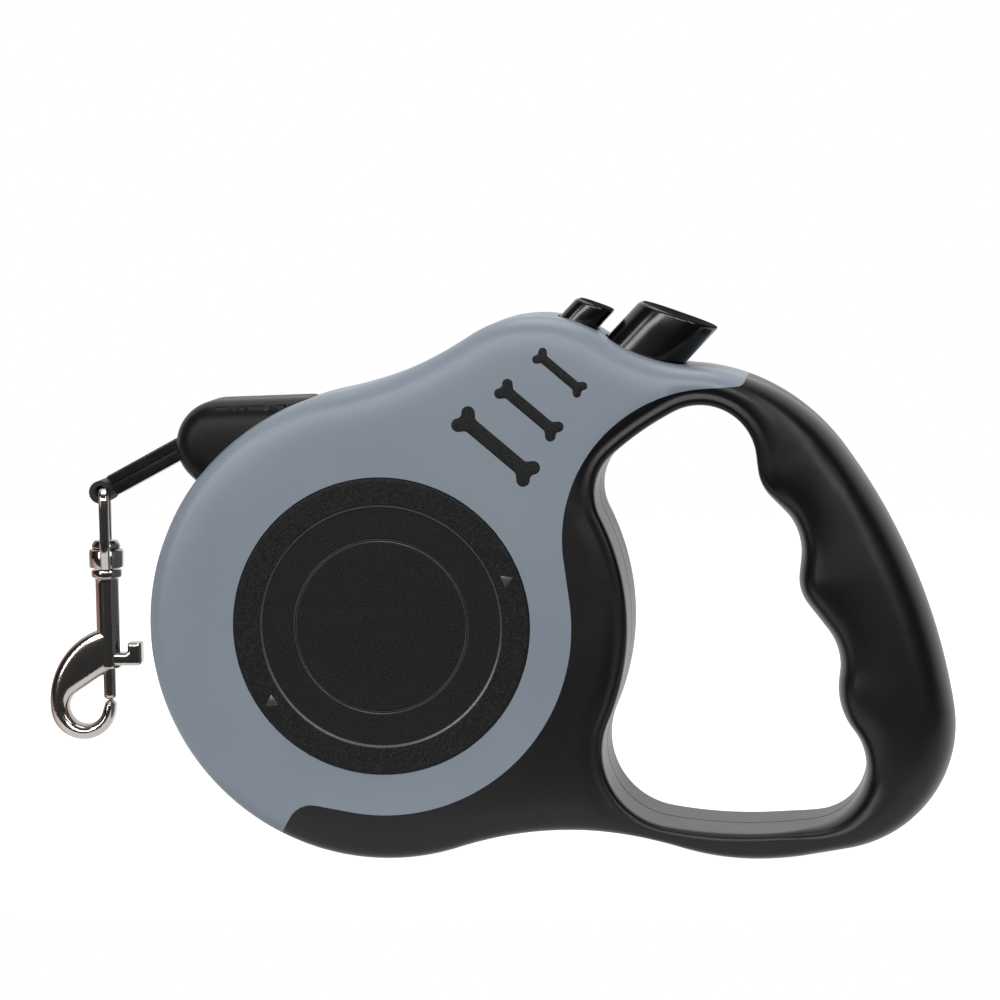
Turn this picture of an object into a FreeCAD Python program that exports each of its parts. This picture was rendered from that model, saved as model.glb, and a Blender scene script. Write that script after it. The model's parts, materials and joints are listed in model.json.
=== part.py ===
import FreeCAD, Part
import math
import os

import Sketcher
from FreeCAD import Placement, Rotation, Vector

# Retractable tape leash, in millimetres.
# X runs along the casing from the snap hook (-X) to the hand grip (+X), Y across its width with the
# front face at -Y, Z up.  The casing stands on the bottom of its disc, whose axis is at x = 0.

doc = FreeCAD.newDocument("RetractableLeash")
sheet = doc.addObject("Spreadsheet::Sheet", "Sizes")
sheet_rows = []


class Size:
    """A length that carries its spreadsheet expression along with its value."""

    def __init__(self, text, value):
        self.text = text
        self.value = float(value)

    def join(self, other, sign, value, swap=False):
        right = other.text if isinstance(other, Size) else repr(float(other))
        pair = (right, self.text) if swap else (self.text, right)
        return Size("(%s %s %s)" % (pair[0], sign, pair[1]), value)

    def __add__(self, other):
        return self.join(other, "+", self.value + float(other))

    def __radd__(self, other):
        return self.join(other, "+", float(other) + self.value, True)

    def __sub__(self, other):
        return self.join(other, "-", self.value - float(other))

    def __rsub__(self, other):
        return self.join(other, "-", float(other) - self.value, True)

    def __mul__(self, other):
        return self.join(other, "*", self.value * float(other))

    def __rmul__(self, other):
        return self.join(other, "*", float(other) * self.value, True)

    def __truediv__(self, other):
        return self.join(other, "/", self.value / float(other))

    def __neg__(self):
        return Size("(0 - %s)" % self.text, -self.value)

    def __float__(self):
        return self.value


def size(alias, value, note):
    """Enter one driving dimension in the sheet and return it."""
    sheet_rows.append(alias)
    row = len(sheet_rows)
    sheet.set("A%d" % row, "'" + note)
    sheet.set("B%d" % row, "%g" % value)
    sheet.setAlias("B%d" % row, alias)
    return Size("Sizes." + alias, value)


# ---------------------------------------------------------------- driving dimensions

disc_radius = size("disc_radius", 48, "outer radius of the casing's disc")
case_width = size("case_width", 28, "casing across both halves")
shell_wall = size("shell_wall", 2.4, "rim wall of the shells")
face_wall = size("face_wall", 3.4, "side wall of the shells, under the hub pads")
edge_round = size("edge_round", 2.2, "rounding of the outer edge")
opening_round = size("opening_round", 1.6, "rounding of the hand opening's edge")
running_fit = size("running_fit", 0.1, "radial clearance of pieces that turn or slide")
free_gap = size("free_gap", 0.4, "gap round pieces that move freely")

half_width = case_width / 2
cavity_radius = disc_radius - shell_wall
cavity_depth = half_width - face_wall
disc_z = float(disc_radius)
disc_centre = Vector(0, 0, disc_z)


class Pulley:
    """A round stretch of an outline: +1 turns left and -1 turns right on the way round."""

    def __init__(self, x, z, radius, turn):
        self.x, self.z, self.radius, self.turn = x, z, radius, turn


class Blend:
    """A round stretch that touches the two pulleys beside it; only its radius is given."""

    def __init__(self, radius, turn):
        self.x, self.z, self.radius, self.turn = None, None, radius, turn


def pulley(name, x, z, radius, turn):
    """A pulley of the handle, placed from the rightmost point of the disc."""
    px = size(name + "_x", x, name + ", from the disc's right edge")
    pz = size(name + "_z", z, name + ", above the disc's axis")
    pr = size(name + "_radius", radius, name + ", radius")
    return Pulley(disc_radius + px, disc_radius + pz, pr, turn)


def blend(name, radius, turn):
    return Blend(size(name + "_radius", radius, name + ", radius"), turn)


# outline of the casing, counterclockwise from the disc
casing_outline = [
    Pulley(Size("0", 0), disc_radius, disc_radius, 1),
    blend("saddle", 75, -1),
    pulley("sole", 29, 12, 60, 1),
    pulley("heel", 42, -21.5, 25, 1),
    blend("back", 121, 1),
    pulley("knuckle", 12, 10.5, 41, 1),
    blend("valley", 40, -1),
    pulley("crown", -16.5, 38, 24, 1),
    blend("neck", 78, -1),
]

# hand opening, with three ridges between the four fingers
web_gap = size("web_gap", 0.9, "hand opening to the disc's outer circle")
opening_outline = [
    pulley("thumb_corner", 11.6, -25.8, 15.3, 1),
    blend("opening_floor", 90, 1),
    pulley("little_finger", 37.1, -29.5, 11.9, 1),
    blend("low_ridge", 14, -1),
    pulley("ring_finger", 32, -9, 12, 1),
    pulley("middle_ridge", 44.4, 8.5, 8.5, -1),
    pulley("middle_finger", 24, 14, 12.4, 1),
    pulley("high_ridge", 38, 32, 10, -1),
    pulley("index_finger", 16.6, 32.7, 11.2, 1),
    blend("opening_roof", 60, 1),
    pulley("web_corner", 6, 26.3, 10.5, 1),
    Blend(disc_radius + web_gap, -1),
]

# the line where the black grip moulding meets the grey shell; the rest of it runs outside the casing
band_width = size("band_width", 9.5, "black band along the disc's lower edge")
band_end_radius = size("band_end_radius", 5, "round end of the band")
band_end_angle = math.radians(20)
band_end_reach = disc_radius - band_width + band_end_radius + 0.6
outside = Size("6", 6)
grip_outline = [
    Pulley(-0.56 * disc_radius, -outside, Size("1", 1), 1),
    Pulley(disc_radius + 90, -outside, Size("1", 1), 1),
    Pulley(disc_radius + 90, disc_radius + 75, Size("1", 1), 1),
    Pulley(disc_radius + 32, disc_radius + 75, Size("1", 1), 1),
    pulley("hood_corner", 24.2, 49.2, 1.6, -1),
    pulley("hood_arc", 19.2, 17, 30.3, 1),
    Pulley(Size("0", 0), disc_radius, disc_radius - band_width, -1),
    Pulley(
        -math.sin(band_end_angle) * band_end_reach,
        disc_radius - math.cos(band_end_angle) * band_end_reach,
        band_end_radius,
        1,
    ),
]


# ---------------------------------------------------------------- outlines as sketches

def left_of(vector):
    return Vector(-vector.y, vector.x, 0)


def blend_centre(before, after, radius, turn):
    """Where a blend's centre lies, so that it touches the pulleys before and after it."""
    start = Vector(float(before.x), float(before.z), 0)
    end = Vector(float(after.x), float(after.z), 0)
    reach_start = abs(turn * radius - before.turn * float(before.radius))
    reach_end = abs(turn * radius - after.turn * float(after.radius))
    span = end - start
    along = (span.Length**2 + reach_start**2 - reach_end**2) / (2 * span.Length)
    aside = math.sqrt(reach_start**2 - along**2)
    span.normalize()
    return start + span * along + left_of(span) * (turn * aside)


def outline_centres(outline):
    centres = []
    for index, item in enumerate(outline):
        if item.x is None:
            before = outline[index - 1]
            after = outline[(index + 1) % len(outline)]
            centres.append(blend_centre(before, after, float(item.radius), item.turn))
        else:
            centres.append(Vector(float(item.x), float(item.z), 0))
    return centres


def touching_line(centre, radius, next_centre, next_radius):
    """The straight run from one pulley to the next; radii are signed by their turn."""
    span = next_centre - centre
    rise = next_radius - radius
    run = math.sqrt(max(span.Length**2 - rise**2, 0))
    normal = (span * rise + left_of(span) * run) / span.Length**2
    return centre - normal * radius, next_centre - normal * next_radius


SHORTEST_RUN = 0.02


def add_outline(sketch, outline):
    """Draw pulleys joined by straight runs, and tie every centre and radius to the sheet."""
    count = len(outline)
    centres = outline_centres(outline)
    signed = [item.turn * float(item.radius) for item in outline]
    runs = []
    for index in range(count):
        after = (index + 1) % count
        runs.append(touching_line(centres[index], signed[index], centres[after], signed[after]))
    up = Vector(0, 0, 1)
    arcs, lines = [], []
    for index, item in enumerate(outline):
        begin = runs[index - 1][1] - centres[index]
        end = runs[index][0] - centres[index]
        low = math.atan2(begin.y, begin.x)
        high = math.atan2(end.y, end.x)
        if item.turn < 0:
            low, high = high, low
        circle = Part.Circle(centres[index], up, float(item.radius))
        arcs.append(sketch.addGeometry(Part.ArcOfCircle(circle, low, high), False))
    for start, end in runs:
        if (end - start).Length > SHORTEST_RUN:
            lines.append(sketch.addGeometry(Part.LineSegment(start, end), False))
        else:
            lines.append(None)

    def tangent(first, first_point, second, second_point):
        sketch.addConstraint(
            Sketcher.Constraint("Tangent", first, first_point, second, second_point)
        )

    for index, item in enumerate(outline):
        after = (index + 1) % count
        leaves = 2 if item.turn > 0 else 1
        enters = 1 if outline[after].turn > 0 else 2
        if lines[index] is None:
            tangent(arcs[index], leaves, arcs[after], enters)
        else:
            tangent(arcs[index], leaves, lines[index], 1)
            tangent(lines[index], 2, arcs[after], enters)
    for index, item in enumerate(outline):
        tie(sketch, Sketcher.Constraint("Radius", arcs[index], float(item.radius)), item.radius)
        if item.x is None:
            continue
        for kind, distance in (("DistanceX", item.x), ("DistanceY", item.z)):
            rule = Sketcher.Constraint(kind, -1, 1, arcs[index], 3, float(distance))
            tie(sketch, rule, distance)


def tie(sketch, rule, value):
    number = sketch.addConstraint(rule)
    if "Sizes" in value.text:
        sketch.setExpression("Constraints[%d]" % number, value.text)


# ---------------------------------------------------------------- small building helpers

nodes = {}


def bind(thing, name, value):
    """Set a property to a size and keep it tied to the sheet."""
    setattr(thing, name, float(value))
    if isinstance(value, Size) and "Sizes" in value.text:
        thing.setExpression(name, value.text)


def node(label, thing):
    """Make a finished piece a node of the model."""
    thing.Label = label
    nodes[label] = thing
    return thing


def new_body(name):
    return doc.addObject("PartDesign::Body", name)


def new_sketch(body, name, role="XZ_Plane", offset=0):
    """A sketch on one of the body's own planes, moved along that plane's normal."""
    sketch = body.newObject("Sketcher::SketchObject", name)
    plane = [item for item in body.Origin.OriginFeatures if item.Role == role][0]
    sketch.AttachmentSupport = [(plane, "")]
    sketch.MapMode = "FlatFace"
    sketch.AttachmentOffset = Placement(Vector(0, 0, float(offset)), Rotation())
    if isinstance(offset, Size):
        sketch.setExpression("AttachmentOffset.Base.z", offset.text)
    return sketch


def add_circle(sketch, x, z, radius):
    circle = Part.Circle(Vector(float(x), float(z), 0), Vector(0, 0, 1), float(radius))
    number = sketch.addGeometry(circle, False)
    tie(sketch, Sketcher.Constraint("Radius", number, float(radius)), as_size(radius))
    for kind, distance in (("DistanceX", x), ("DistanceY", z)):
        rule = Sketcher.Constraint(kind, -1, 1, number, 3, float(distance))
        tie(sketch, rule, as_size(distance))


def as_size(value):
    return value if isinstance(value, Size) else Size(repr(float(value)), value)


def add_polygon(sketch, points):
    corners = [Vector(float(x), float(z), 0) for x, z in points]
    count = len(corners)
    sides = []
    for index in range(count):
        line = Part.LineSegment(corners[index], corners[(index + 1) % count])
        sides.append(sketch.addGeometry(line, False))
    for index in range(count):
        after = sides[(index + 1) % count]
        sketch.addConstraint(Sketcher.Constraint("Coincident", sides[index], 2, after, 1))
    for side, (x, z) in zip(sides, points):
        for kind, distance in (("DistanceX", x), ("DistanceY", z)):
            rule = Sketcher.Constraint(kind, -1, 1, side, 1, float(distance))
            tie(sketch, rule, as_size(distance))


def feature(body, kind, name, profile, length, **settings):
    """A pad or pocket whose length is tied to the sheet."""
    made = body.newObject("PartDesign::" + kind, name)
    made.Profile = profile
    for key, value in settings.items():
        setattr(made, key, value)
    bind(made, "Length", length)
    doc.recompute()
    return made


def round_edges(body, base, radius, wanted):
    """Fillet the edges of the body's last feature for which wanted(edge) is true."""
    names = [
        "Edge%d" % (number + 1)
        for number, edge in enumerate(base.Shape.Edges)
        if wanted(edge)
    ]
    fillet = body.newObject("PartDesign::Fillet", base.Name + "Round")
    fillet.Base = (base, names)
    bind(fillet, "Radius", radius)
    doc.recompute()
    return fillet


def box(name, low, high, frame=Placement()):
    """A block between two corners given in its frame."""
    made = doc.addObject("Part::Box", name)
    for key, start, end in zip(("Length", "Width", "Height"), low, high):
        bind(made, key, end - start)
    made.Placement = frame.multiply(Placement(Vector(*[float(item) for item in low]), Rotation()))
    return made


ALONG = {
    "x": Rotation(Vector(0, 1, 0), 90),
    "y": Rotation(Vector(1, 0, 0), -90),
    "z": Rotation(),
}


def rod(name, radius, length, base, axis="y", frame=Placement()):
    """A cylinder that starts at base and runs along the given axis of its frame."""
    made = doc.addObject("Part::Cylinder", name)
    bind(made, "Radius", radius)
    bind(made, "Height", length)
    start = Vector(*[float(item) for item in base])
    made.Placement = frame.multiply(Placement(start, ALONG[axis]))
    return made


def cone(name, low_radius, high_radius, length, base, axis="y", frame=Placement()):
    made = doc.addObject("Part::Cone", name)
    bind(made, "Radius1", low_radius)
    bind(made, "Radius2", high_radius)
    bind(made, "Height", length)
    start = Vector(*[float(item) for item in base])
    made.Placement = frame.multiply(Placement(start, ALONG[axis]))
    return made


def fuse(name, *shapes):
    made = doc.addObject("Part::MultiFuse", name)
    made.Shapes = list(shapes)
    return made


def cut(name, base, *tools):
    made = doc.addObject("Part::Cut", name)
    made.Base = base
    made.Tool = tools[0] if len(tools) == 1 else fuse(name + "Tools", *tools)
    return made


def common(name, first, second):
    made = doc.addObject("Part::Common", name)
    made.Base = first
    made.Tool = second
    return made


def mirrored(name, source):
    """The same piece on the other side of the casing's middle plane."""
    made = doc.addObject("Part::Mirroring", name)
    made.Source = source
    made.Base = Vector(0, 0, 0)
    made.Normal = Vector(0, 1, 0)
    return made


def plain(name, shape):
    made = doc.addObject("Part::Feature", name)
    made.Shape = shape
    return made


# ---------------------------------------------------------------- frames of the moving pieces

# press frame: origin on the spool's axis, local z outwards through the brake button
brake_x = size("brake_x", 9, "brake button, from the disc's right edge")
brake_z = size("brake_z", 59, "brake button, above the disc's axis")
brake_across = disc_radius + brake_x
brake_reach = Size(
    "hypot(%s; %s)" % (brake_across.text, brake_z.text),
    math.hypot(float(brake_across), float(brake_z)),
)
brake_angle = math.degrees(math.atan2(float(brake_z), float(brake_across)))
press_frame = Placement(disc_centre, Rotation(Vector(0, 1, 0), 90 - brake_angle))

# leash frame: origin in the nozzle's mouth, local x along the tape into the casing
mouth_angle = size("mouth_angle", 138.6, "direction of the nozzle's mouth from the disc's axis")
mouth_rise = size("mouth_rise", 6.7, "mouth outside the disc")
leash_slope = size("leash_slope", 27.8, "slope of the tape in the mouth")
mouth = disc_centre + Vector(
    math.cos(math.radians(float(mouth_angle))) * float(disc_radius + mouth_rise),
    0,
    math.sin(math.radians(float(mouth_angle))) * float(disc_radius + mouth_rise),
)
leash_frame = Placement(mouth, Rotation(Vector(0, 1, 0), -float(leash_slope)))

# snap frame: origin on the eye's top bar, which the tape's loop goes round
sleeve_length = size("sleeve_length", 18.8, "end sleeve along the tape")
sleeve_seat = size("sleeve_seat", 1.3, "depth of the end sleeve in the mouth")
loop_reach = size("loop_reach", 2.8, "end sleeve to the eye's bar")
pivot_reach = sleeve_length - sleeve_seat + loop_reach
pivot = leash_frame.multVec(Vector(-float(pivot_reach), 0, 0))
snap_frame = Placement(pivot, Rotation())


# ---------------------------------------------------------------- spool and tape

tape_width = size("tape_width", 10, "nylon tape")
tape_thickness = size("tape_thickness", 1, "nylon tape")
tape_pitch = size("tape_pitch", 1.05, "one turn of tape on the spool")
drum_radius = size("drum_radius", 21.5, "outside of the spool's drum")
drum_wall = size("drum_wall", 1.8, "wall of the spool's drum")
flange_thickness = size("flange_thickness", 1.5, "rear flange of the spool")
ratchet_thickness = size("ratchet_thickness", 2, "ratchet wheel")
tooth_height = size("tooth_height", 3.2, "teeth of the ratchet wheel")
spool_gap = size("spool_gap", 1.1, "spool's rim to the casing's rim wall")
spool_half = tape_width / 2 + 0.3
ratchet_radius = cavity_radius - spool_gap
flange_radius = ratchet_radius - tooth_height + 0.2
axle_radius = size("axle_radius", 2.5, "ends of the axle, in the shells")
journal_radius = size("journal_radius", 3.5, "journals that the spool turns on")
arbor_radius = size("arbor_radius", 5, "middle of the axle, inside the spring")
bush_wall = size("bush_wall", 1.3, "wall of the spool's bushes")
bush_radius = journal_radius + running_fit + bush_wall
washer_thickness = size("washer_thickness", 0.4, "thrust washers")
boss_face = spool_half + ratchet_thickness + washer_thickness + 0.3
rim_margin = 3

TOOTH_COUNT = 24
TAPE_TURNS = int((float(flange_radius) - rim_margin - float(drum_radius)) / float(tape_pitch))
pack_radius = float(drum_radius) + TAPE_TURNS * float(tape_pitch)


def spiral_strip(inner, pitch, turns, thickness, width, start):
    """A strip wound into a flat spiral of half circles, across Y about the spool's axis."""

    def side(shift):
        edges = []
        for half in range(2 * turns):
            radius = inner + half * pitch / 2 + shift
            along = Vector(math.cos(start), 0, math.sin(start))
            centre = along * (pitch / 2 * (half % 2))
            across = Vector(-math.sin(start), 0, math.cos(start))
            if half % 2:
                along, across = -along, -across
            first = centre + along * radius
            middle = centre + across * radius
            last = centre - along * radius
            edges.append(Part.Arc(first, middle, last).toShape())
        return edges

    inside = side(-thickness / 2)
    outside_turns = side(thickness / 2)
    caps = [
        Part.LineSegment(inside[0].firstVertex().Point, outside_turns[0].firstVertex().Point),
        Part.LineSegment(inside[-1].lastVertex().Point, outside_turns[-1].lastVertex().Point),
    ]
    edges = inside + outside_turns + [cap.toShape() for cap in caps]
    face = Part.Face(Part.Wire(Part.__sortEdges__(edges)))
    strip = face.extrude(Vector(0, width, 0))
    strip.translate(disc_centre - Vector(0, width / 2, 0))
    return strip


def coil_spring(radius, wire, length, turns, start, frame):
    """A helical spring along local z."""
    helix = Part.makeHelix(length / turns, length, radius)
    section = Part.Circle(Vector(radius, 0, 0), Vector(0, 1, 0), wire / 2)
    coil = Part.Wire([section.toShape()])
    spring = Part.Wire(helix.Edges).makePipeShell([coil], True, True)
    spring.Placement = frame.multiply(Placement(Vector(*start), Rotation()))
    return spring


spool_frame = Placement(disc_centre, Rotation())


def ring(name, outer, inner, length, y):
    """A ring about the spool's axis."""
    whole = rod(name + "Outer", outer, length, (0, y, 0), "y", spool_frame)
    hole = rod(name + "Hole", inner, length, (0, y, 0), "y", spool_frame)
    return cut(name, whole, hole)


def make_ratchet_wheel():
    """The front flange of the spool, with the gaps that the brake's pawl drops into."""
    body = new_body("RatchetWheel")
    disc = new_sketch(body, "RatchetDisc", offset=spool_half)
    add_circle(disc, 0, 0, ratchet_radius)
    add_circle(disc, 0, 0, bush_radius)
    feature(body, "Pad", "RatchetPad", disc, ratchet_thickness)
    gap = new_sketch(body, "RatchetGapOutline", offset=spool_half)
    corners = []
    for turn, height in ((-5, 1.3), (4, 1.3), (4, 0), (-4, 0)):
        angle = math.radians(brake_angle + turn)
        reach = ratchet_radius - tooth_height + tooth_height * height
        corners.append((math.cos(angle) * reach, math.sin(angle) * reach))
    add_polygon(gap, corners)
    pocket = feature(body, "Pocket", "RatchetGap", gap, ratchet_thickness, Reversed=True)
    teeth = body.newObject("PartDesign::PolarPattern", "RatchetTeeth")
    teeth.Originals = [pocket]
    teeth.Axis = (disc, ["N_Axis"])
    teeth.Angle = 360
    teeth.Occurrences = TOOTH_COUNT
    body.Tip = teeth
    body.Placement = spool_frame
    return node("ratchet_wheel", body)


def make_spool():
    """Drum with its rear flange, ratchet wheel, bushes, washers, axle, power spring and tape."""
    width = 2 * spool_half
    wall = ring("DrumWall", drum_radius, drum_radius - drum_wall, width, -spool_half)
    flange = ring("RearFlange", flange_radius, bush_radius, flange_thickness, spool_half)
    node("spool_drum", fuse("SpoolDrum", wall, flange))
    make_ratchet_wheel()

    bore = journal_radius + running_fit
    wheel_face = -spool_half - ratchet_thickness
    front_bush = ring("FrontBush", bush_radius, bore, ratchet_thickness, wheel_face)
    rear_bush = ring("RearBush", bush_radius, bore, flange_thickness, spool_half)
    node("spool_bushes", fuse("SpoolBushes", front_bush, rear_bush))

    washer_radius = bush_radius + 1
    front_face = wheel_face - washer_thickness - 0.1
    rear_face = spool_half + flange_thickness + 0.1
    front = ring("FrontWasher", washer_radius, bore, washer_thickness, front_face)
    rear = ring("RearWasher", washer_radius, bore, washer_thickness, rear_face)
    node("thrust_washers", fuse("ThrustWashers", front, rear))

    arbor_half = spool_half - running_fit
    ends = rod("AxleEnds", axle_radius, 2 * axle_end, (0, -axle_end, 0), "y", spool_frame)
    journals = rod("AxleJournals", journal_radius, 2 * boss_face, (0, -boss_face, 0), "y", spool_frame)
    arbor = rod("AxleArbor", arbor_radius, 2 * arbor_half, (0, -arbor_half, 0), "y", spool_frame)
    slot = box(
        "ArborSlot",
        (-0.4, -arbor_half, 0),
        (0.4, arbor_half, arbor_radius + 1),
        spool_frame,
    )
    node("spool_axle", cut("SpoolAxle", fuse("AxleRods", ends, journals, arbor), slot))

    spring_room = float(drum_radius - drum_wall) - 0.5
    spring_inner = float(arbor_radius) + 0.6
    turns = 9
    pitch = (spring_room - spring_inner) / turns
    spring = spiral_strip(spring_inner, pitch, turns, 0.4, float(width) - 1.2, math.pi / 2)
    node("power_spring", plain("PowerSpring", spring))

    pack = spiral_strip(
        float(drum_radius) + float(tape_pitch) / 2,
        float(tape_pitch),
        TAPE_TURNS,
        float(tape_thickness),
        float(tape_width),
        math.radians(run_angle),
    )
    node("leash_tape_wound", plain("TapeWound", pack))


# ---------------------------------------------------------------- tape route, nozzle and end sleeve

guide_radius = size("guide_radius", 2, "steel pin that turns the tape in the nozzle")
guide_reach = size("guide_reach", 10, "nozzle's mouth to the bend over the guide pin")
slot_height = size("slot_height", 2.8, "tape slot, across the tape's thickness")
slot_width = tape_width + 1.6

bend = leash_frame.multVec(Vector(float(guide_reach), 0, 0))
to_axis = disc_centre - bend
line_radius = pack_radius + float(tape_thickness) / 2
bend_to_axis = math.atan2(to_axis.z, to_axis.x)
run_direction = bend_to_axis + math.asin(line_radius / to_axis.Length)
run_length = math.sqrt(to_axis.Length**2 - line_radius**2)
run_angle = math.degrees(run_direction) + 90
run_frame = Placement(bend, Rotation(Vector(0, 1, 0), -math.degrees(run_direction)))


def tape_path():
    """Middle line of the tape from the mouth over the guide pin to the pack on the spool."""
    radius = float(guide_radius + tape_thickness / 2)
    turn = math.radians(float(leash_slope)) - run_direction
    trim = radius * math.tan(turn / 2)
    incoming = leash_frame.Rotation.multVec(Vector(1, 0, 0))
    outgoing = run_frame.Rotation.multVec(Vector(1, 0, 0))
    start = mouth + incoming * 2
    first = bend - incoming * trim
    last = bend + outgoing * trim
    centre = first - leash_frame.Rotation.multVec(Vector(0, 0, 1)) * radius
    to_bend = bend - centre
    to_bend.normalize()
    end = bend + outgoing * (run_length - 0.5)
    edges = [
        Part.LineSegment(start, first).toShape(),
        Part.Arc(first, centre + to_bend * radius, last).toShape(),
        Part.LineSegment(last, end).toShape(),
    ]
    return Part.Wire(edges), start, centre


def make_tape_run():
    path, start, centre = tape_path()
    across = Vector(0, float(tape_width) / 2, 0)
    rise = leash_frame.Rotation.multVec(Vector(0, 0, 1)) * (float(tape_thickness) / 2)
    corners = [start - across - rise, start + across - rise]
    corners += [start + across + rise, start - across + rise]
    section = Part.makePolygon(corners + corners[:1])
    node("leash_tape_run", plain("TapeRun", path.makePipeShell([section], True, False)))
    half = float(slot_width) / 2 + 1.5
    pin = rod("GuidePin", guide_radius - 0.05, 2 * half, (centre.x, -half, centre.z))
    node("tape_guide_pin", pin)
    return pin


def tape_slot():
    """Room for the tape through the nozzle and the rim of the casing."""
    half = slot_width / 2
    height = slot_height / 2
    inlet = box("InletSlot", (-8, -half, -height), (guide_reach + 1, half, height), leash_frame)
    outlet = box("OutletSlot", (-1.5, -half, -height - 0.6), (22, half, height), run_frame)
    return fuse("TapeSlot", inlet, outlet)


nozzle_angle = size("nozzle_angle", 131.3, "direction of the nozzle from the disc's axis")
nozzle_width = size("nozzle_width", 22, "nozzle across the casing")
nozzle_round = size("nozzle_round", 5.5, "rounding of the nozzle's sides")
nozzle_frame = Placement(disc_centre, Rotation(Vector(0, 1, 0), 90 - float(nozzle_angle)))
nose_radius = size("nose_radius", 8.4, "nozzle's round nose")
nose_rise = size("nose_rise", 1.7, "centre of the nose outside the disc")
tail_reach = size("tail_reach", 19, "nozzle's tail, along the rim")


def make_nozzle(shells):
    """The bulb on the rim that the tape leaves the casing by."""
    body = new_body("NozzleBody")
    outline = new_sketch(body, "NozzleOutline")
    add_outline(
        outline,
        [
            Pulley(as_size(-7.5), disc_radius - 10, as_size(1.5), 1),
            Pulley(tail_reach, disc_radius - 10, as_size(1.5), 1),
            Pulley(tail_reach - 2, disc_radius - 5, as_size(2), 1),
            Pulley(as_size(-1.2), disc_radius + nose_rise, nose_radius, 1),
        ],
    )
    pad = feature(body, "Pad", "NozzlePad", outline, nozzle_width, Midplane=True)
    half = float(nozzle_width) / 2 - 0.01
    round_edges(body, pad, nozzle_round, lambda edge: edge.BoundBox.YMax - edge.BoundBox.YMin < 0.1
                and abs(edge.BoundBox.YMax) > half)
    body.Placement = nozzle_frame
    socket_half = sleeve_width / 2 + free_gap
    socket_height = sleeve_thickness / 2 + free_gap
    socket = box(
        "MouthSocket",
        (-9, -socket_half, -socket_height),
        (sleeve_seat + free_gap, socket_half, socket_height),
        leash_frame,
    )
    room = rod("SpoolRoom", disc_radius - shell_wall / 2, case_width, (0, -half_width, 0), "y", spool_frame)
    return cut("NozzleBulb", body, tape_slot(), socket, room, *shells)


sleeve_width = size("sleeve_width", 10.6, "end sleeve across the tape")
sleeve_thickness = size("sleeve_thickness", 4.4, "end sleeve through the tape")
bar_radius = size("bar_radius", 1.1, "wire of the swivel eye")


def make_leash_end():
    """Tape end sewn back on itself, in a sleeve of two riveted halves."""
    near = sleeve_seat
    far = sleeve_seat - sleeve_length
    half = sleeve_width / 2
    fold = tape_thickness * 2 + 0.2
    strap_half = tape_width / 2 - 0.8
    for name, low, high in (("lower", -1, 0), ("upper", 0, 1)):
        block = box(
            name + "SleeveBlock",
            (far, -half, low * sleeve_thickness / 2),
            (near, half, high * sleeve_thickness / 2),
            leash_frame,
        )
        room = box(
            name + "SleeveRoom",
            (far - 1, -strap_half, -fold / 2),
            (near + 1, strap_half, fold / 2),
            leash_frame,
        )
        rivet_holes = [rivet(name + "Hole", x) for x in (-3.5, -13.0)]
        node("end_sleeve_" + name, cut(name + "Sleeve", block, room, *rivet_holes))
    strap = box("TapeStrap", (-pivot_reach, -strap_half, -fold / 2), (near + 0.5, strap_half, fold / 2), leash_frame)
    eye = (-pivot_reach, -strap_half, 0)
    loop = rod("TapeLoop", bar_radius + 0.25 + tape_thickness, 2 * strap_half, eye, "y", leash_frame)
    hole = rod("TapeLoopHole", bar_radius + 0.25, 2 * strap_half, eye, "y", leash_frame)
    holes = [rivet("TapeHole", x) for x in (-3.5, -13.0)]
    node("leash_tape_end", cut("TapeEnd", fuse("TapeEndBlank", strap, loop), hole, *holes))
    rivets = [rivet("Rivet", x) for x in (-3.5, -13.0)]
    node("sleeve_rivets", fuse("SleeveRivets", *rivets))


rivet_radius = size("rivet_radius", 0.8, "rivets of the end sleeve")


def rivet(name, x):
    start = (x, 0, -sleeve_thickness / 2)
    return rod(name, rivet_radius, sleeve_thickness, start, "z", leash_frame)


# ---------------------------------------------------------------- brake and lock buttons

brake_width = size("brake_width", 15.2, "brake button along the casing")
brake_depth = size("brake_depth", 16, "brake button across the casing")
brake_travel = size("brake_travel", 3.5, "travel of the brake button")
brake_proud = size("brake_proud", 4.2, "middle of the brake button's top outside its axis point")
lock_width = size("lock_width", 7.3, "lock button along the casing")
lock_depth = size("lock_depth", 10, "lock button across the casing")
lock_travel = size("lock_travel", 3, "travel of the lock button")
lock_aside = size("lock_aside", 13.2, "lock button's middle from the brake's")
lock_drop = size("lock_drop", 5.8, "middle of the lock button's top inside the brake's axis point")
cap_slope = 24
cap_round = size("cap_round", 1, "rounding of the buttons")
brake_middle = 0.5
chamber_floor = disc_radius + 0.5
chamber_top = brake_reach - 15.5
lock_top = brake_reach - 20


def make_cap(name, middle, width, depth, low, high):
    """A button with a sloping top, in the press frame."""
    body = new_body(name)
    outline = new_sketch(body, name + "Outline")
    rise = width * (math.tan(math.radians(cap_slope)) / 2)
    left = middle - width / 2
    right = middle + width / 2
    add_polygon(outline, [(left, low), (right, low), (right, high + rise), (left, high - rise)])
    pad = feature(body, "Pad", name + "Pad", outline, depth, Midplane=True)
    bottom = float(low) + 0.1
    round_edges(body, pad, cap_round, lambda edge: edge.BoundBox.ZMax > bottom)
    body.Placement = press_frame
    return body


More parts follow.
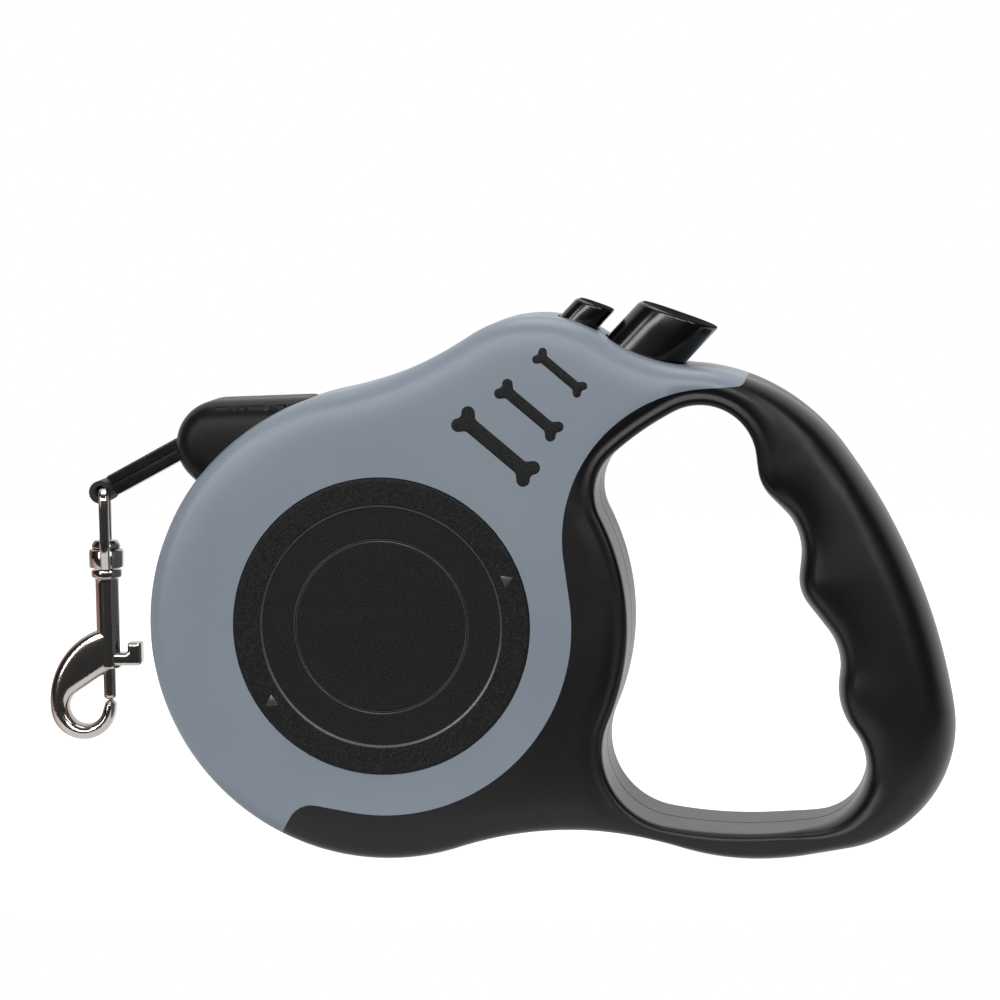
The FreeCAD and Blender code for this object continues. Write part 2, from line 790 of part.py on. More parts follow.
def make_brake():
    low = chamber_top + 5.5
    cap = make_cap(
        "BrakeCap", as_size(brake_middle), brake_width, brake_depth, low, brake_reach + brake_proud
    )
    stem_low = brake_reach - 22
    stem = box("BrakeStem", (-4.5, -4.6, stem_low), (4.5, 5, low), press_frame)
    lug = rod("BrakeSpringLug", 1.2, 2, (0, 1.5, stem_low - 2), "z", press_frame)
    node("brake_button", fuse("BrakeButton", cap, stem, lug))

    # the pawl hangs on the front of the stem, over the ratchet wheel
    wheel_middle = spool_half + ratchet_thickness / 2
    rest_gap = 0.5
    tip = ratchet_radius + rest_gap
    front = -(wheel_middle + 1.4)
    back = as_size(-4.6)
    blade = box("PawlBlade", (-2.2, front, tip), (2.2, back, stem_low + 8), press_frame)
    wedge_left = box("PawlWedgeLeft", (-6, front - 1, -4), (0, back + 1, 0), wedge_frame(-2.2, tip, -25))
    wedge_right = box("PawlWedgeRight", (0, front - 1, -4), (6, back + 1, 0), wedge_frame(2.2, tip, 25))
    node("brake_pawl", cut("BrakePawl", blade, wedge_left, wedge_right))

    length = float(stem_low - chamber_floor) - 0.2
    spring = coil_spring(1.9, 0.5, length - 0.5, 5, (0, 1.5, float(chamber_floor) + 0.35), press_frame)
    node("brake_spring", plain("BrakeSpring", spring))


def wedge_frame(x, z, tilt):
    """Frame of a slanting cut at the tip of the pawl."""
    height = float(z) + 2.0
    local = Placement(Vector(x, 0, height), Rotation(Vector(0, 1, 0), tilt))
    return press_frame.multiply(local)


def make_lock():
    low = lock_top + 4.2
    middle = -lock_aside
    cap = make_cap("LockCap", middle, lock_width, lock_depth, low, brake_reach - lock_drop)
    stem_low = brake_reach - 25
    stem = box("LockStem", (middle - 2, -3, stem_low), (middle + 2, 3, low), press_frame)
    lug = rod("LockSpringLug", 0.9, 2, (middle, 0, stem_low - 2), "z", press_frame)
    node("lock_button", fuse("LockButton", cap, stem, lug))
    foot = box("LockFoot", (middle + 2, -3, stem_low), (-5.2, 3, stem_low + 2), press_frame)
    node("lock_latch", foot)
    length = float(stem_low - chamber_floor) - 0.2
    start = (float(middle), 0, float(chamber_floor) + 0.3)
    spring = coil_spring(1.5, 0.4, length - 0.4, 5, start, press_frame)
    node("lock_spring", plain("LockSpring", spring))


def button_rooms():
    """Chamber for the stems, wells for the buttons and the pawl's way to the ratchet wheel."""
    depth = brake_depth / 2 + free_gap
    chamber = box("Chamber", (-18.5, -9, chamber_floor), (6.5, 9, lock_top), press_frame)
    upper = box("UpperChamber", (-8.3, -9, lock_top), (6.5, 9, chamber_top), press_frame)
    left = brake_middle - brake_width / 2 - free_gap
    right = brake_middle + brake_width / 2 + free_gap
    brake_well = box("BrakeWell", (left, -depth, chamber_top), (right, depth, brake_reach + 30), press_frame)
    half = lock_width / 2 + free_gap
    lock_half = lock_depth / 2 + free_gap
    lock_well = box(
        "LockWell",
        (-lock_aside - half, -lock_half, lock_top),
        (-lock_aside + half, lock_half, brake_reach + 30),
        press_frame,
    )
    front = -(spool_half + ratchet_thickness / 2 + 1.8)
    pawl_slot = box("PawlSlot", (-2.8, front, cavity_radius - 4), (2.8, -4.2, chamber_floor + 1), press_frame)
    return fuse("ButtonRooms", chamber, upper, brake_well, lock_well, pawl_slot)


# ---------------------------------------------------------------- casing

axle_end = half_width - 2
hub_radius = size("hub_radius", 30, "round pad in the middle of each side")
hub_depth = size("hub_depth", 1.2, "recess of the hub pads")
hub_proud = size("hub_proud", 0.2, "hub pads above the shells")
hub_step_radius = size("hub_step_radius", 24.2, "step in the face of the hub pads")
hub_groove_radius = size("hub_groove_radius", 17.5, "fine groove in the hub pads")
inlay_depth = size("inlay_depth", 1, "bone inlays")
boss_radius = size("boss_radius", 6, "bosses that hold the axle")
screw_radius = size("screw_radius", 1.5, "casing screws")
screw_head_radius = size("screw_head_radius", 2.7, "heads of the casing screws")
screw_points = [(disc_radius * 0.4 - 55.2, 50.5), (-6.5, -35), (55.5, -33), (29, 43)]


def make_blank(name, backwards):
    """Half of the casing as one moulding, before the grip is split from it."""
    side = 1 if backwards else -1
    body = new_body(name)
    outline = new_sketch(body, name + "Outline")
    add_outline(outline, casing_outline)
    add_outline(outline, opening_outline)
    pad = feature(body, "Pad", name + "Pad", outline, half_width, Reversed=backwards)
    face_y = side * float(half_width)
    hole = opening_box()

    def on_face(edge):
        box_of = edge.BoundBox
        return abs(box_of.YMin - face_y) < 0.01 and abs(box_of.YMax - face_y) < 0.01

    def in_opening(edge):
        return hole.isInside(edge.BoundBox)

    outer = round_edges(body, pad, edge_round, lambda edge: on_face(edge) and not in_opening(edge))
    inner = round_edges(body, outer, opening_round, lambda edge: on_face(edge) and in_opening(edge))
    cavity = new_sketch(body, name + "Cavity")
    add_circle(cavity, 0, disc_radius, cavity_radius)
    feature(body, "Pocket", name + "SpoolRoom", cavity, cavity_depth, Reversed=not backwards)
    hollow = new_sketch(body, name + "Hollow")
    add_outline(hollow, grip_hollow)
    feature(body, "Pocket", name + "GripRoom", hollow, grip_depth, Reversed=not backwards)
    return body


def opening_box():
    """A box round the hand opening, a little larger than it."""
    centres = outline_centres(opening_outline)
    hole = FreeCAD.BoundBox()
    for centre, item in zip(centres, opening_outline):
        if item.turn > 0 and item.x is not None:
            reach = float(item.radius) + 1
            hole.add(Vector(centre.x - reach, -100, centre.y - reach))
            hole.add(Vector(centre.x + reach, 100, centre.y + reach))
    return hole


grip_depth = size("grip_depth", 10, "hollow of the grip, each side of the middle")
grip_hollow = [
    pulley("hollow_top", 37, 34, 3, 1),
    pulley("hollow_bottom", 54.5, -22, 4.5, 1),
    pulley("hollow_middle", 52, 8, 5.5, 1),
]


def make_hub_pad(name):
    """Round rubber pad with a stepped face and a fine ring groove."""
    face = half_width + hub_proud
    step = 0.3
    whole = rod(name + "Disc", hub_radius, hub_depth + hub_proud, (0, -face, 0), "y", spool_frame)
    dish = rod(name + "Dish", hub_step_radius, step, (0, -face, 0), "y", spool_frame)
    groove = doc.addObject("Part::Torus", name + "Groove")
    bind(groove, "Radius1", hub_groove_radius)
    groove.Radius2 = 0.3
    groove_place = Placement(Vector(0, -float(face) + step, 0), ALONG["y"])
    groove.Placement = spool_frame.multiply(groove_place)
    arrows = []
    for angle in (20, -146):
        arrow = doc.addObject("Part::Prism", name + "Arrow")
        arrow.Polygon = 3
        arrow.Circumradius = 1.5
        arrow.Height = 0.25
        reach = float(hub_radius) - 2.4
        spot = Vector(reach * math.cos(math.radians(angle)), -float(face), reach * math.sin(math.radians(angle)))
        arrow.Placement = spool_frame.multiply(Placement(spot, ALONG["y"]))
        arrows.append(arrow)
    return cut(name, whole, dish, groove, *arrows)


bone_length = size("bone_length", 17, "largest bone, between the middles of its ends")
bone_spots = [(-24.1, 36.2, 1.0), (-17.3, 43.4, 0.78), (-11.0, 50.8, 0.62)]
bone_slope = 40.7


def make_bone(name, x, z, scale):
    """A bone-shaped inlay: four round lobes and a slim shaft."""
    body = new_body(name)
    outline = new_sketch(body, name + "Outline")
    half = bone_length * (scale / 2)
    lobe, spread, notch, neck = 1.4 * scale, 1.6 * scale, 1.0 * scale, 1.0 * scale
    shaft = 1.3 * scale
    neck_z = shaft + neck
    neck_x = half - 2.4 * scale

    def spot(px, pz, radius, turn):
        return Pulley(as_size(px), as_size(pz), as_size(radius), turn)

    add_outline(
        outline,
        [
            spot(half, -spread, lobe, 1),
            Blend(as_size(notch), -1),
            spot(half, spread, lobe, 1),
            spot(neck_x, neck_z, neck, -1),
            spot(-neck_x, neck_z, neck, -1),
            spot(-half, spread, lobe, 1),
            Blend(as_size(notch), -1),
            spot(-half, -spread, lobe, 1),
            spot(-neck_x, -neck_z, neck, -1),
            spot(neck_x, -neck_z, neck, -1),
        ],
    )
    feature(body, "Pad", name + "Pad", outline, inlay_depth)
    face = -float(half_width - inlay_depth)
    spot_x = float(disc_radius) + x
    spot_z = float(disc_radius) + z
    body.Placement = Placement(Vector(spot_x, face, spot_z), Rotation(Vector(0, 1, 0), bone_slope))
    return body


def make_screws():
    """Four screws from the rear, which clamp the two halves together."""
    head_y = half_width - 4
    heads, shanks, sinks = [], [], []
    for number, (x, z) in enumerate(screw_points):
        spot_x = disc_radius + x
        spot_z = disc_radius + z
        shanks.append(rod("ScrewShank%d" % number, screw_radius, head_y + 7, (spot_x, -7, spot_z)))
        heads.append(rod("ScrewHead%d" % number, screw_head_radius, 1.6, (spot_x, head_y, spot_z)))
        sinks.append(rod("ScrewSink%d" % number, screw_head_radius + 0.3, 30, (spot_x, head_y, spot_z)))
        cross = 0.5
        for length, width in ((1.7, cross), (cross, 1.7)):
            low = (spot_x - length, head_y + 0.8, spot_z - width)
            high = (spot_x + length, head_y + 2, spot_z + width)
            sinks_slot = box("ScrewCross%d" % number, low, high)
            heads[-1] = cut("ScrewHeadCut%d" % number, heads[-1], sinks_slot)
    node("casing_screws", fuse("CasingScrews", *heads, *shanks))
    return shanks, sinks


def make_casing():
    front_blank = make_blank("FrontBlank", False)
    rear_blank = make_blank("RearBlank", True)
    nozzle = make_nozzle([front_blank, rear_blank])

    region_body = new_body("GripRegion")
    region_sketch = new_sketch(region_body, "GripRegionOutline")
    add_outline(region_sketch, grip_outline)
    region = feature(region_body, "Pad", "GripRegionPad", region_sketch, case_width + 4, Midplane=True)

    slot = tape_slot()
    rooms = button_rooms()
    shanks, sinks = make_screws()
    pad = node("front_hub_pad", make_hub_pad("FrontHubPad"))
    rear_pad = node("rear_hub_pad", mirrored("RearHubPad", pad))
    bones = fuse("FrontBones", *[make_bone("Bone%d" % n, *spot) for n, spot in enumerate(bone_spots)])
    node("front_bone_inlays", bones)
    rear_bones = node("rear_bone_inlays", mirrored("RearBones", bones))
    pin_hole = make_tape_run()
    node("nozzle", cut("Nozzle", nozzle, pin_hole))
    for side, blank, hub, inlay in (
        ("front", front_blank, pad, bones),
        ("rear", rear_blank, rear_pad, rear_bones),
    ):
        base = -cavity_depth if side == "front" else boss_face
        boss = rod(side + "Boss", boss_radius, cavity_depth - boss_face, (0, base, 0), "y", spool_frame)
        bore = rod(side + "Bore", axle_radius, 2 * axle_end, (0, -axle_end, 0), "y", spool_frame)
        recess = rod(side + "Recess", hub_radius, hub_depth + 2, (0, hub_base(side), 0), "y", spool_frame)
        tools = [slot, rooms, bore, recess, inlay, pin_hole] + shanks
        if side == "rear":
            tools += sinks
        moulding = cut(side + "Moulding", fuse(side + "Blank", blank, boss), *tools)
        node(side + "_shell", cut(side + "Shell", moulding, region_body))
        node(side + "_grip", common(side + "Grip", moulding, region_body))


def hub_base(side):
    return -half_width - 2 if side == "front" else half_width - hub_depth


# ---------------------------------------------------------------- swivel snap hook

eye_half = size("eye_half", 7.8, "half the width of the swivel eye")
eye_drop = size("eye_drop", 16, "eye's bar to the bottom of its block")
block_height = size("block_height", 4, "block of the swivel eye")
block_radius = size("block_radius", 3.6, "block of the swivel eye")
barrel_radius = size("barrel_radius", 2.45, "barrel of the snap hook")
barrel_length = size("barrel_length", 19, "barrel of the snap hook")
flange_height = size("flange_height", 1.6, "flange on top of the barrel")
bore_radius = size("bore_radius", 1.4, "bore for the bolt")
stud_radius = size("stud_radius", 1.5, "stud that the eye turns on")
bolt_radius = size("bolt_radius", 1.3, "sliding bolt")
bolt_travel = size("bolt_travel", 5.5, "travel of the bolt")
hook_thickness = size("hook_thickness", 4.2, "hook, across")
hook_round = size("hook_round", 0.9, "rounding of the hook")


def make_swivel_eye():
    """Square eye for the tape, with the block that the stud turns in."""
    body = new_body("EyeLoop")
    outline = new_sketch(body, "EyeOutline", "YZ_Plane")
    top = bar_radius
    block_top = block_height - eye_drop
    for half, high, low, radius in (
        (eye_half, top, -eye_drop, 3),
        (eye_half - 2 * bar_radius, -bar_radius, block_top, 1.2),
    ):
        corners = [(1, -1), (1, 1), (-1, 1), (-1, -1)]
        spots = []
        for across, upward in corners:
            x = across * (half - radius)
            z = high - radius if upward > 0 else low + radius
            spots.append(Pulley(x, z, as_size(radius), 1))
        add_outline(outline, spots)
    pad = feature(body, "Pad", "EyePad", outline, 2 * bar_radius, Midplane=True)
    half = float(bar_radius) - 0.01
    round_edges(body, pad, bar_radius * 0.8, lambda edge: abs(edge.BoundBox.XMin) > half
                and edge.BoundBox.XMax - edge.BoundBox.XMin < 0.01)
    body.Placement = snap_frame
    block = rod("EyeBlock", block_radius, block_height, (0, 0, -eye_drop), "z", snap_frame)
    hole = rod(
        "EyeHole", stud_radius + running_fit, block_height + 1, (0, 0, -eye_drop - 0.5), "z", snap_frame
    )
    node("swivel_eye", cut("SwivelEye", fuse("EyeBlank", body, block), hole))


def make_snap_hook():
    """Cast barrel and hook, the stud, the sliding bolt with its thumb tab, and the bolt's spring."""
    flange_top = -eye_drop - 0.3
    barrel_top = flange_top - flange_height
    barrel_low = barrel_top - barrel_length
    flange = rod("Flange", barrel_radius + 0.75, flange_height, (0, 0, barrel_top), "z", snap_frame)
    barrel = rod("Barrel", barrel_radius, barrel_length, (0, 0, barrel_low), "z", snap_frame)
    body = new_body("HookBody")
    outline = new_sketch(body, "HookOutline")
    bow = barrel_low - 8.0
    tip = as_size(1.2)
    corner = as_size(1.0)
    add_outline(
        outline,
        [
            Pulley(as_size(-5.6), bow, as_size(6.9), 1),
            Pulley(as_size(0.1), bow + 0.25, tip, 1),
            Pulley(as_size(-5.0), bow - 0.1, as_size(3.55), -1),
            Pulley(as_size(0.5), barrel_low + 1.0, corner, 1),
            Pulley(as_size(0.5), barrel_low + 7.5, corner, 1),
            Pulley(as_size(-0.5), barrel_low + 7.5, corner, 1),
            Blend(as_size(16), 1),
        ],
    )
    pad = feature(body, "Pad", "HookPad", outline, hook_thickness, Midplane=True)
    side = float(hook_thickness) / 2 - 0.01
    round_edges(body, pad, hook_round, lambda edge: abs(edge.BoundBox.YMin) > side
                and edge.BoundBox.YMax - edge.BoundBox.YMin < 0.01)
    body.Placement = snap_frame
    bore = rod("BoltBore", bore_radius, barrel_length - 3, (0, 0, barrel_low), "z", snap_frame)
    below = rod("BoltWay", bore_radius, 6.6, (0, 0, barrel_low - 6.6), "z", snap_frame)
    stud_seat = rod("StudSeat", stud_radius, 4, (0, 0, flange_top - 4), "z", snap_frame)
    tab_low = barrel_low + 0.6
    tab_height = as_size(2.7)
    slot = box(
        "TabSlot",
        (0, -1.3, tab_low - 0.2),
        (barrel_radius + 1, 1.3, tab_low + tab_height + bolt_travel + 0.2),
        snap_frame,
    )
    blank = fuse("HookBlank", flange, barrel, body)
    node("snap_body", cut("SnapBody", blank, bore, stud_seat, slot, below))

    shank = rod("StudShank", stud_radius, block_height + 4.4, (0, 0, flange_top - 4), "z", snap_frame)
    head = cone("StudHead", 3, 2.4, 1.7, (0, 0, block_height - eye_drop + 0.1), "z", snap_frame)
    node("swivel_stud", fuse("SwivelStud", shank, head))

    pin_low = bow + 1.5
    pin = rod("BoltPin", bolt_radius, tab_low + 5 - pin_low, (0, 0, pin_low), "z", snap_frame)
    stub = box("TabStub", (0, -1.1, tab_low), (4.6, 1.1, tab_low + tab_height), snap_frame)
    post = box("TabPost", (4.2, -2, tab_low), (7.1, 2, tab_low + 4.9), snap_frame)
    node("snap_bolt", fuse("SnapBolt", pin, stub, post))
    spring_low = float(tab_low) + 5.1
    spring_high = float(barrel_low + barrel_length - 3) - 0.15
    start = (0, 0, spring_low + 0.15)
    spring = coil_spring(1.05, 0.3, spring_high - spring_low - 0.3, 9, start, snap_frame)
    node("bolt_spring", plain("BoltSpring", spring))


# ---------------------------------------------------------------- build, check and write

make_casing()
make_spool()
make_brake()
make_lock()
make_leash_end()
make_swivel_eye()
make_snap_hook()
doc.recompute()

for thing in doc.Objects:
    if "Invalid" in thing.State or "Error" in thing.State:
        raise RuntimeError("%s failed: %s" % (thing.Name, thing.State))
for label, thing in nodes.items():
    if thing.Shape.isNull() or not thing.Shape.isValid() or thing.Shape.Volume <= 0:
        raise RuntimeError("%s has no valid solid" % label)

os.makedirs("parts", exist_ok=True)
for label, thing in nodes.items():
    thing.Shape.exportStep("parts/%s.step" % label)
    print("%-20s %2d solids  %9.1f mm3" % (label, len(thing.Shape.Solids), thing.Shape.Volume))
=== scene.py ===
import json
import math

import bpy
import numpy as np
from mathutils import Matrix, Vector
from mathutils.geometry import delaunay_2d_cdt


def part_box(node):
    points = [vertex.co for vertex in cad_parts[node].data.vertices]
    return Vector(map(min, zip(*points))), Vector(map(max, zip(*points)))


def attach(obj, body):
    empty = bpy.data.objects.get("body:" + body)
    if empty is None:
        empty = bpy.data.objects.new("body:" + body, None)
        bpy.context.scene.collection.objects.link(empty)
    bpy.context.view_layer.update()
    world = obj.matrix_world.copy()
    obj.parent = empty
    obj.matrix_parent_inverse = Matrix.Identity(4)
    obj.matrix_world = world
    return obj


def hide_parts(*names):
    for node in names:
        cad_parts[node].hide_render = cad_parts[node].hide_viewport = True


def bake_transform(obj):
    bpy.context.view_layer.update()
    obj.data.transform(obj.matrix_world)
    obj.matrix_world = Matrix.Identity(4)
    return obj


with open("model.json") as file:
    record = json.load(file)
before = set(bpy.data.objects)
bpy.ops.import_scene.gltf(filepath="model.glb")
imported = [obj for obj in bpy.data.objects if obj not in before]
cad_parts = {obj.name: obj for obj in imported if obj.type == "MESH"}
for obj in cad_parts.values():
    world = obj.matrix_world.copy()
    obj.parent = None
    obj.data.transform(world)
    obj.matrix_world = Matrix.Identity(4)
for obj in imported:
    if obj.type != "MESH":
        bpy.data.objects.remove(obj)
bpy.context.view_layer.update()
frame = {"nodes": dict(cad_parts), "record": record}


# ---- Camera
# A long lens that stands a little to the right of the leash and just above it. It aims a little above
# the middle of the leash, and is rolled by one degree.
camera_data = bpy.data.cameras.new("Camera")
camera_data.lens = 129.6
camera_data.sensor_width = 36
camera_data.clip_start = 0.01
camera = bpy.data.objects.new("Camera", camera_data)
bpy.context.scene.collection.objects.link(camera)
aim = Vector((0.0246, -0.014, 0.07345))
stand_off = 0.72
azimuth, elevation, roll = math.radians(6.3), math.radians(5.3), math.radians(-1.0)
level = Vector((math.cos(azimuth), math.sin(azimuth), 0))
ahead = Vector((-math.sin(azimuth), math.cos(azimuth), 0))
look = ahead * math.cos(elevation) - Vector((0, 0, math.sin(elevation)))
rise = level.cross(look)
right = level * math.cos(roll) + rise * math.sin(roll)
above = (-look).cross(right)
facing = Matrix((right, above, -look)).transposed().to_4x4()
camera.matrix_world = Matrix.Translation(aim - look * stand_off) @ facing
bpy.context.scene.camera = camera
bpy.context.scene.view_settings.view_transform = "Standard"


# ---- Studio
# A pale table top and a white room: bright overhead and behind the leash, dim in front of it, with a
# wide soft panel above and a narrow one at each side.


class Wire:
    """A value in a node tree, so that shading can be written as arithmetic."""

    def __init__(self, tree, socket):
        self.tree, self.socket = tree, socket

    def math(self, operation, other):
        return make(self.tree, "Math", {"operation": operation}, {0: self, 1: other})

    def __add__(self, other):
        return self.math("ADD", other)

    def __mul__(self, other):
        return self.math("MULTIPLY", other)

    def __sub__(self, other):
        return self.math("SUBTRACT", other)

    def __rsub__(self, other):
        return self * -1 + other

    __radd__ = __add__
    __rmul__ = __mul__

    def between(self, low, high):
        """0 below low, 1 above high, and a smooth step from one to the other."""
        return make(self.tree, "MapRange", {"interpolation_type": "SMOOTHSTEP"},
                    {"Value": self, "From Min": low, "From Max": high})

    def part(self, letter):
        """The X, Y or Z part of a vector."""
        return make(self.tree, "SeparateXYZ", {}, {"Vector": self}, letter)


def plug(value, slot):
    """Link a wire to a socket, or set the socket to a plain value."""
    if isinstance(value, Wire):
        value.tree.links.new(value.socket, slot)
    else:
        slot.default_value = value


def make(tree, kind, settings, values, output=0):
    """Add a node with these settings, plug these values into its sockets, and return one output."""
    node = tree.nodes.new("ShaderNode" + kind)
    for name, value in settings.items():
        setattr(node, name, value)
    for slot, value in values.items():
        plug(value, node.inputs[slot])
    return Wire(tree, node.outputs[output])


world = bpy.data.worlds.new("Studio")
bpy.context.scene.world = world
world.use_nodes = True
room = world.node_tree
toward = make(room, "TexCoord", {}, {}, "Generated")
behind = toward.part("Y").between(0.0, 0.4)
overhead = toward.part("Z").between(0.7, 0.95)
glow = 0.045 + 0.95 * behind + 0.35 * overhead * (1 - behind)
seen = make(room, "LightPath", {}, {}, "Is Camera Ray")
walls = room.nodes["Background"]
plug((1, 1, 1, 1), walls.inputs["Color"])
plug(seen + glow * (1 - seen), walls.inputs["Strength"])

floor_level = -0.0001
floor_corners = [(-0.6, -0.07), (0.7, -0.07), (0.7, 0.7), (-0.6, 0.7)]
floor_mesh = bpy.data.meshes.new("TableTop")
floor_mesh.from_pydata([(x, y, floor_level) for x, y in floor_corners], [], [(0, 1, 2, 3)])
floor = bpy.data.objects.new("TableTop", floor_mesh)
bpy.context.scene.collection.objects.link(floor)
paint = bpy.data.materials.new("PaleTop")
paint.use_nodes = True
coat = paint.node_tree
top = coat.nodes["Principled BSDF"]
plug((0.35, 0.35, 0.35, 1), top.inputs["Base Color"])
plug(0.9, top.inputs["Roughness"])
plug(0, top.inputs["Specular IOR Level"])
straight = make(coat, "LightPath", {}, {}, "Is Camera Ray")
mirrored = make(coat, "LightPath", {}, {}, "Is Glossy Ray")
lit = straight + 0.9 * mirrored
plug(make(coat, "CombineColor", {}, {"Red": lit, "Green": lit, "Blue": lit}), top.inputs["Emission Color"])
plug(1, top.inputs["Emission Strength"])
floor_mesh.materials.append(paint)

for name, place, aimed, size, power in (
    ("Overhead", (0.02, 0.0, 0.75), (0.03, 0, 0.06), (0.6, 0.4), 2.2),
    ("LeftPanel", (-0.5, -0.6, 0.3), (0.0, 0, 0.06), (0.1, 0.5), 1.6),
    ("RightPanel", (0.5, -0.65, 0.42), (0.06, 0, 0.06), (0.14, 0.5), 1.7),
    ("FrontPanel", (-0.1, -0.95, 0.36), (0.02, 0, 0.06), (0.8, 0.2), 4.9),
):
    lamp = bpy.data.lights.new(name, "AREA")
    lamp.shape = "RECTANGLE"
    lamp.size, lamp.size_y = size
    lamp.energy = power
    light = bpy.data.objects.new(name, lamp)
    bpy.context.scene.collection.objects.link(light)
    light.location = place
    light.rotation_euler = (Vector(aimed) - Vector(place)).to_track_quat("-Z", "Y").to_euler()


# ---- Casing halves
# Two clamshell halves, each of grey ABS with a black soft-touch grip moulded over its handle end.
# The faces are flat round the hub and swell into a rounded grip; a fine groove runs where they meet.

# Faces that meet at less than this angle are shaded as one smooth surface.
smooth_angle = math.radians(40)
# How far in from an edge, in millimetres, the rows of its rounding reach.
border_steps = (0, 0.02, 0.07, 0.16, 0.3, 0.5, 0.75, 1.05, 1.4, 1.8, 2.3, 2.9, 3.5)
# Rows up the wall below an edge, as shares of the wall's height.
wall_steps = (0, 0.25, 0.5, 0.75, 0.92)


def belt(stops, step=0.8):
    """Closed line round discs (x, z, radius, turn) and the straight runs between them, in
    millimetres. Turn is 1 where the line goes round to the left and -1 where it goes to the right.
    Gives its points and, at each, the direction to the left of the way round. A disc with no place
    of its own touches its two neighbours."""
    signed = [radius * turn for x, z, radius, turn in stops]
    middles = []
    for index, (x, z, radius, turn) in enumerate(stops):
        if x is None:
            before, after = index - 1, (index + 1) % len(stops)
            start, end = np.array(stops[before][:2], float), np.array(stops[after][:2], float)
            near, far = abs(signed[index] - signed[before]), abs(signed[index] - signed[after])
            span = end - start
            length = np.hypot(*span)
            along = (length**2 + near**2 - far**2) / (2 * length)
            aside = math.sqrt(near**2 - along**2) * turn
            span /= length
            middles.append(start + span * along + np.array((-span[1], span[0])) * aside)
        else:
            middles.append(np.array((x, z), float))
    runs = []
    for index, middle in enumerate(middles):
        after = (index + 1) % len(middles)
        span = middles[after] - middle
        rise = signed[after] - signed[index]
        run = math.sqrt(max(span @ span - rise**2, 0))
        normal = (span * rise + np.array((-span[1], span[0])) * run) / (span @ span)
        runs.append((normal, middle - normal * signed[index], middles[after] - normal * signed[after]))
    points, normals = [], []
    for index, middle in enumerate(middles):
        incoming, outgoing = runs[index - 1][0], runs[index][0]
        first = math.atan2(incoming[1], incoming[0])
        turn = stops[index][3]
        sweep = (turn * (math.atan2(outgoing[1], outgoing[0]) - first)) % (2 * math.pi)
        sweep = 0 if sweep > 2 * math.pi - 0.001 else sweep
        parts = max(1, math.ceil(sweep * stops[index][2] / step))
        for k in range(parts + 1):
            angle = first + turn * sweep * k / parts
            normal = np.array((math.cos(angle), math.sin(angle)))
            points.append(middle - normal * signed[index])
            normals.append(normal)
        normal, start, end = runs[index]
        parts = max(1, round(np.hypot(*(end - start)) / step))
        for k in range(1, parts):
            points.append(start + (end - start) * k / parts)
            normals.append(normal)
    points, normals = np.array(points), np.array(normals)
    kept = np.hypot(*(points - np.roll(points, 1, axis=0)).T) > 0.02
    return points[kept], normals[kept]


def distance(points, line):
    """Distance of each point to a closed line."""
    nearest = np.full(len(points), np.inf)
    for start, end in zip(line, np.roll(line, -1, axis=0)):
        span = end - start
        share = np.clip((points - start) @ span / (span @ span), 0, 1)
        nearest = np.minimum(nearest, np.hypot(*(points - start - share[:, None] * span).T))
    return nearest


def inside(points, line):
    """Whether each point lies inside a closed line."""
    odd = np.zeros(len(points), bool)
    for start, end in zip(line, np.roll(line, -1, axis=0)):
        if start[1] == end[1]:
            continue
        crossing = (start[1] > points[:, 1]) != (end[1] > points[:, 1])
        reach = start[0] + (points[:, 1] - start[1]) / (end[1] - start[1]) * (end[0] - start[0])
        odd ^= crossing & (points[:, 0] < reach)
    return odd


def smooth(low, high, value):
    """0 below low, 1 above high, and a smooth step from one to the other."""
    share = np.clip((value - low) / (high - low), 0, 1)
    return share * share * (3 - 2 * share)


disc = -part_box("front_shell")[0].x * 1000
half = -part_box("front_grip")[0].y * 1000
rim, rim_in = belt([
    (0, disc, disc, 1), (None, None, 75, -1), (disc + 29, disc + 12, 60, 1),
    (disc + 42, disc - 21.5, 25, 1), (None, None, 121, 1), (disc + 12, disc + 10.5, 41, 1),
    (None, None, 40, -1), (disc - 16.5, disc + 38, 24, 1), (None, None, 78, -1),
])
hole, hole_in = belt([
    (disc + 11.6, disc - 25.8, 15.3, 1), (None, None, 90, 1), (disc + 37.1, disc - 29.5, 11.9, 1),
    (None, None, 14, -1), (disc + 32, disc - 9, 12, 1), (disc + 44.4, disc + 8.5, 8.5, -1),
    (disc + 24, disc + 14, 12.4, 1), (disc + 38, disc + 32, 10, -1), (disc + 16.6, disc + 32.7, 11.2, 1),
    (None, None, 60, 1), (disc + 6, disc + 26.3, 10.5, 1), (None, None, disc + 0.9, -1),
])
band_turn = math.radians(20)
band_reach = disc - 3.9
grip_edge, _ = belt([
    (-0.56 * disc, -6, 1, 1), (disc + 90, -6, 1, 1), (disc + 90, disc + 75, 1, 1),
    (disc + 32, disc + 75, 1, 1), (disc + 24.2, disc + 49.2, 1.6, -1), (disc + 19.2, disc + 17, 30.3, 1),
    (0, disc, disc - 9.5, -1),
    (-math.sin(band_turn) * band_reach, disc - math.cos(band_turn) * band_reach, 5, 1),
], 0.5)


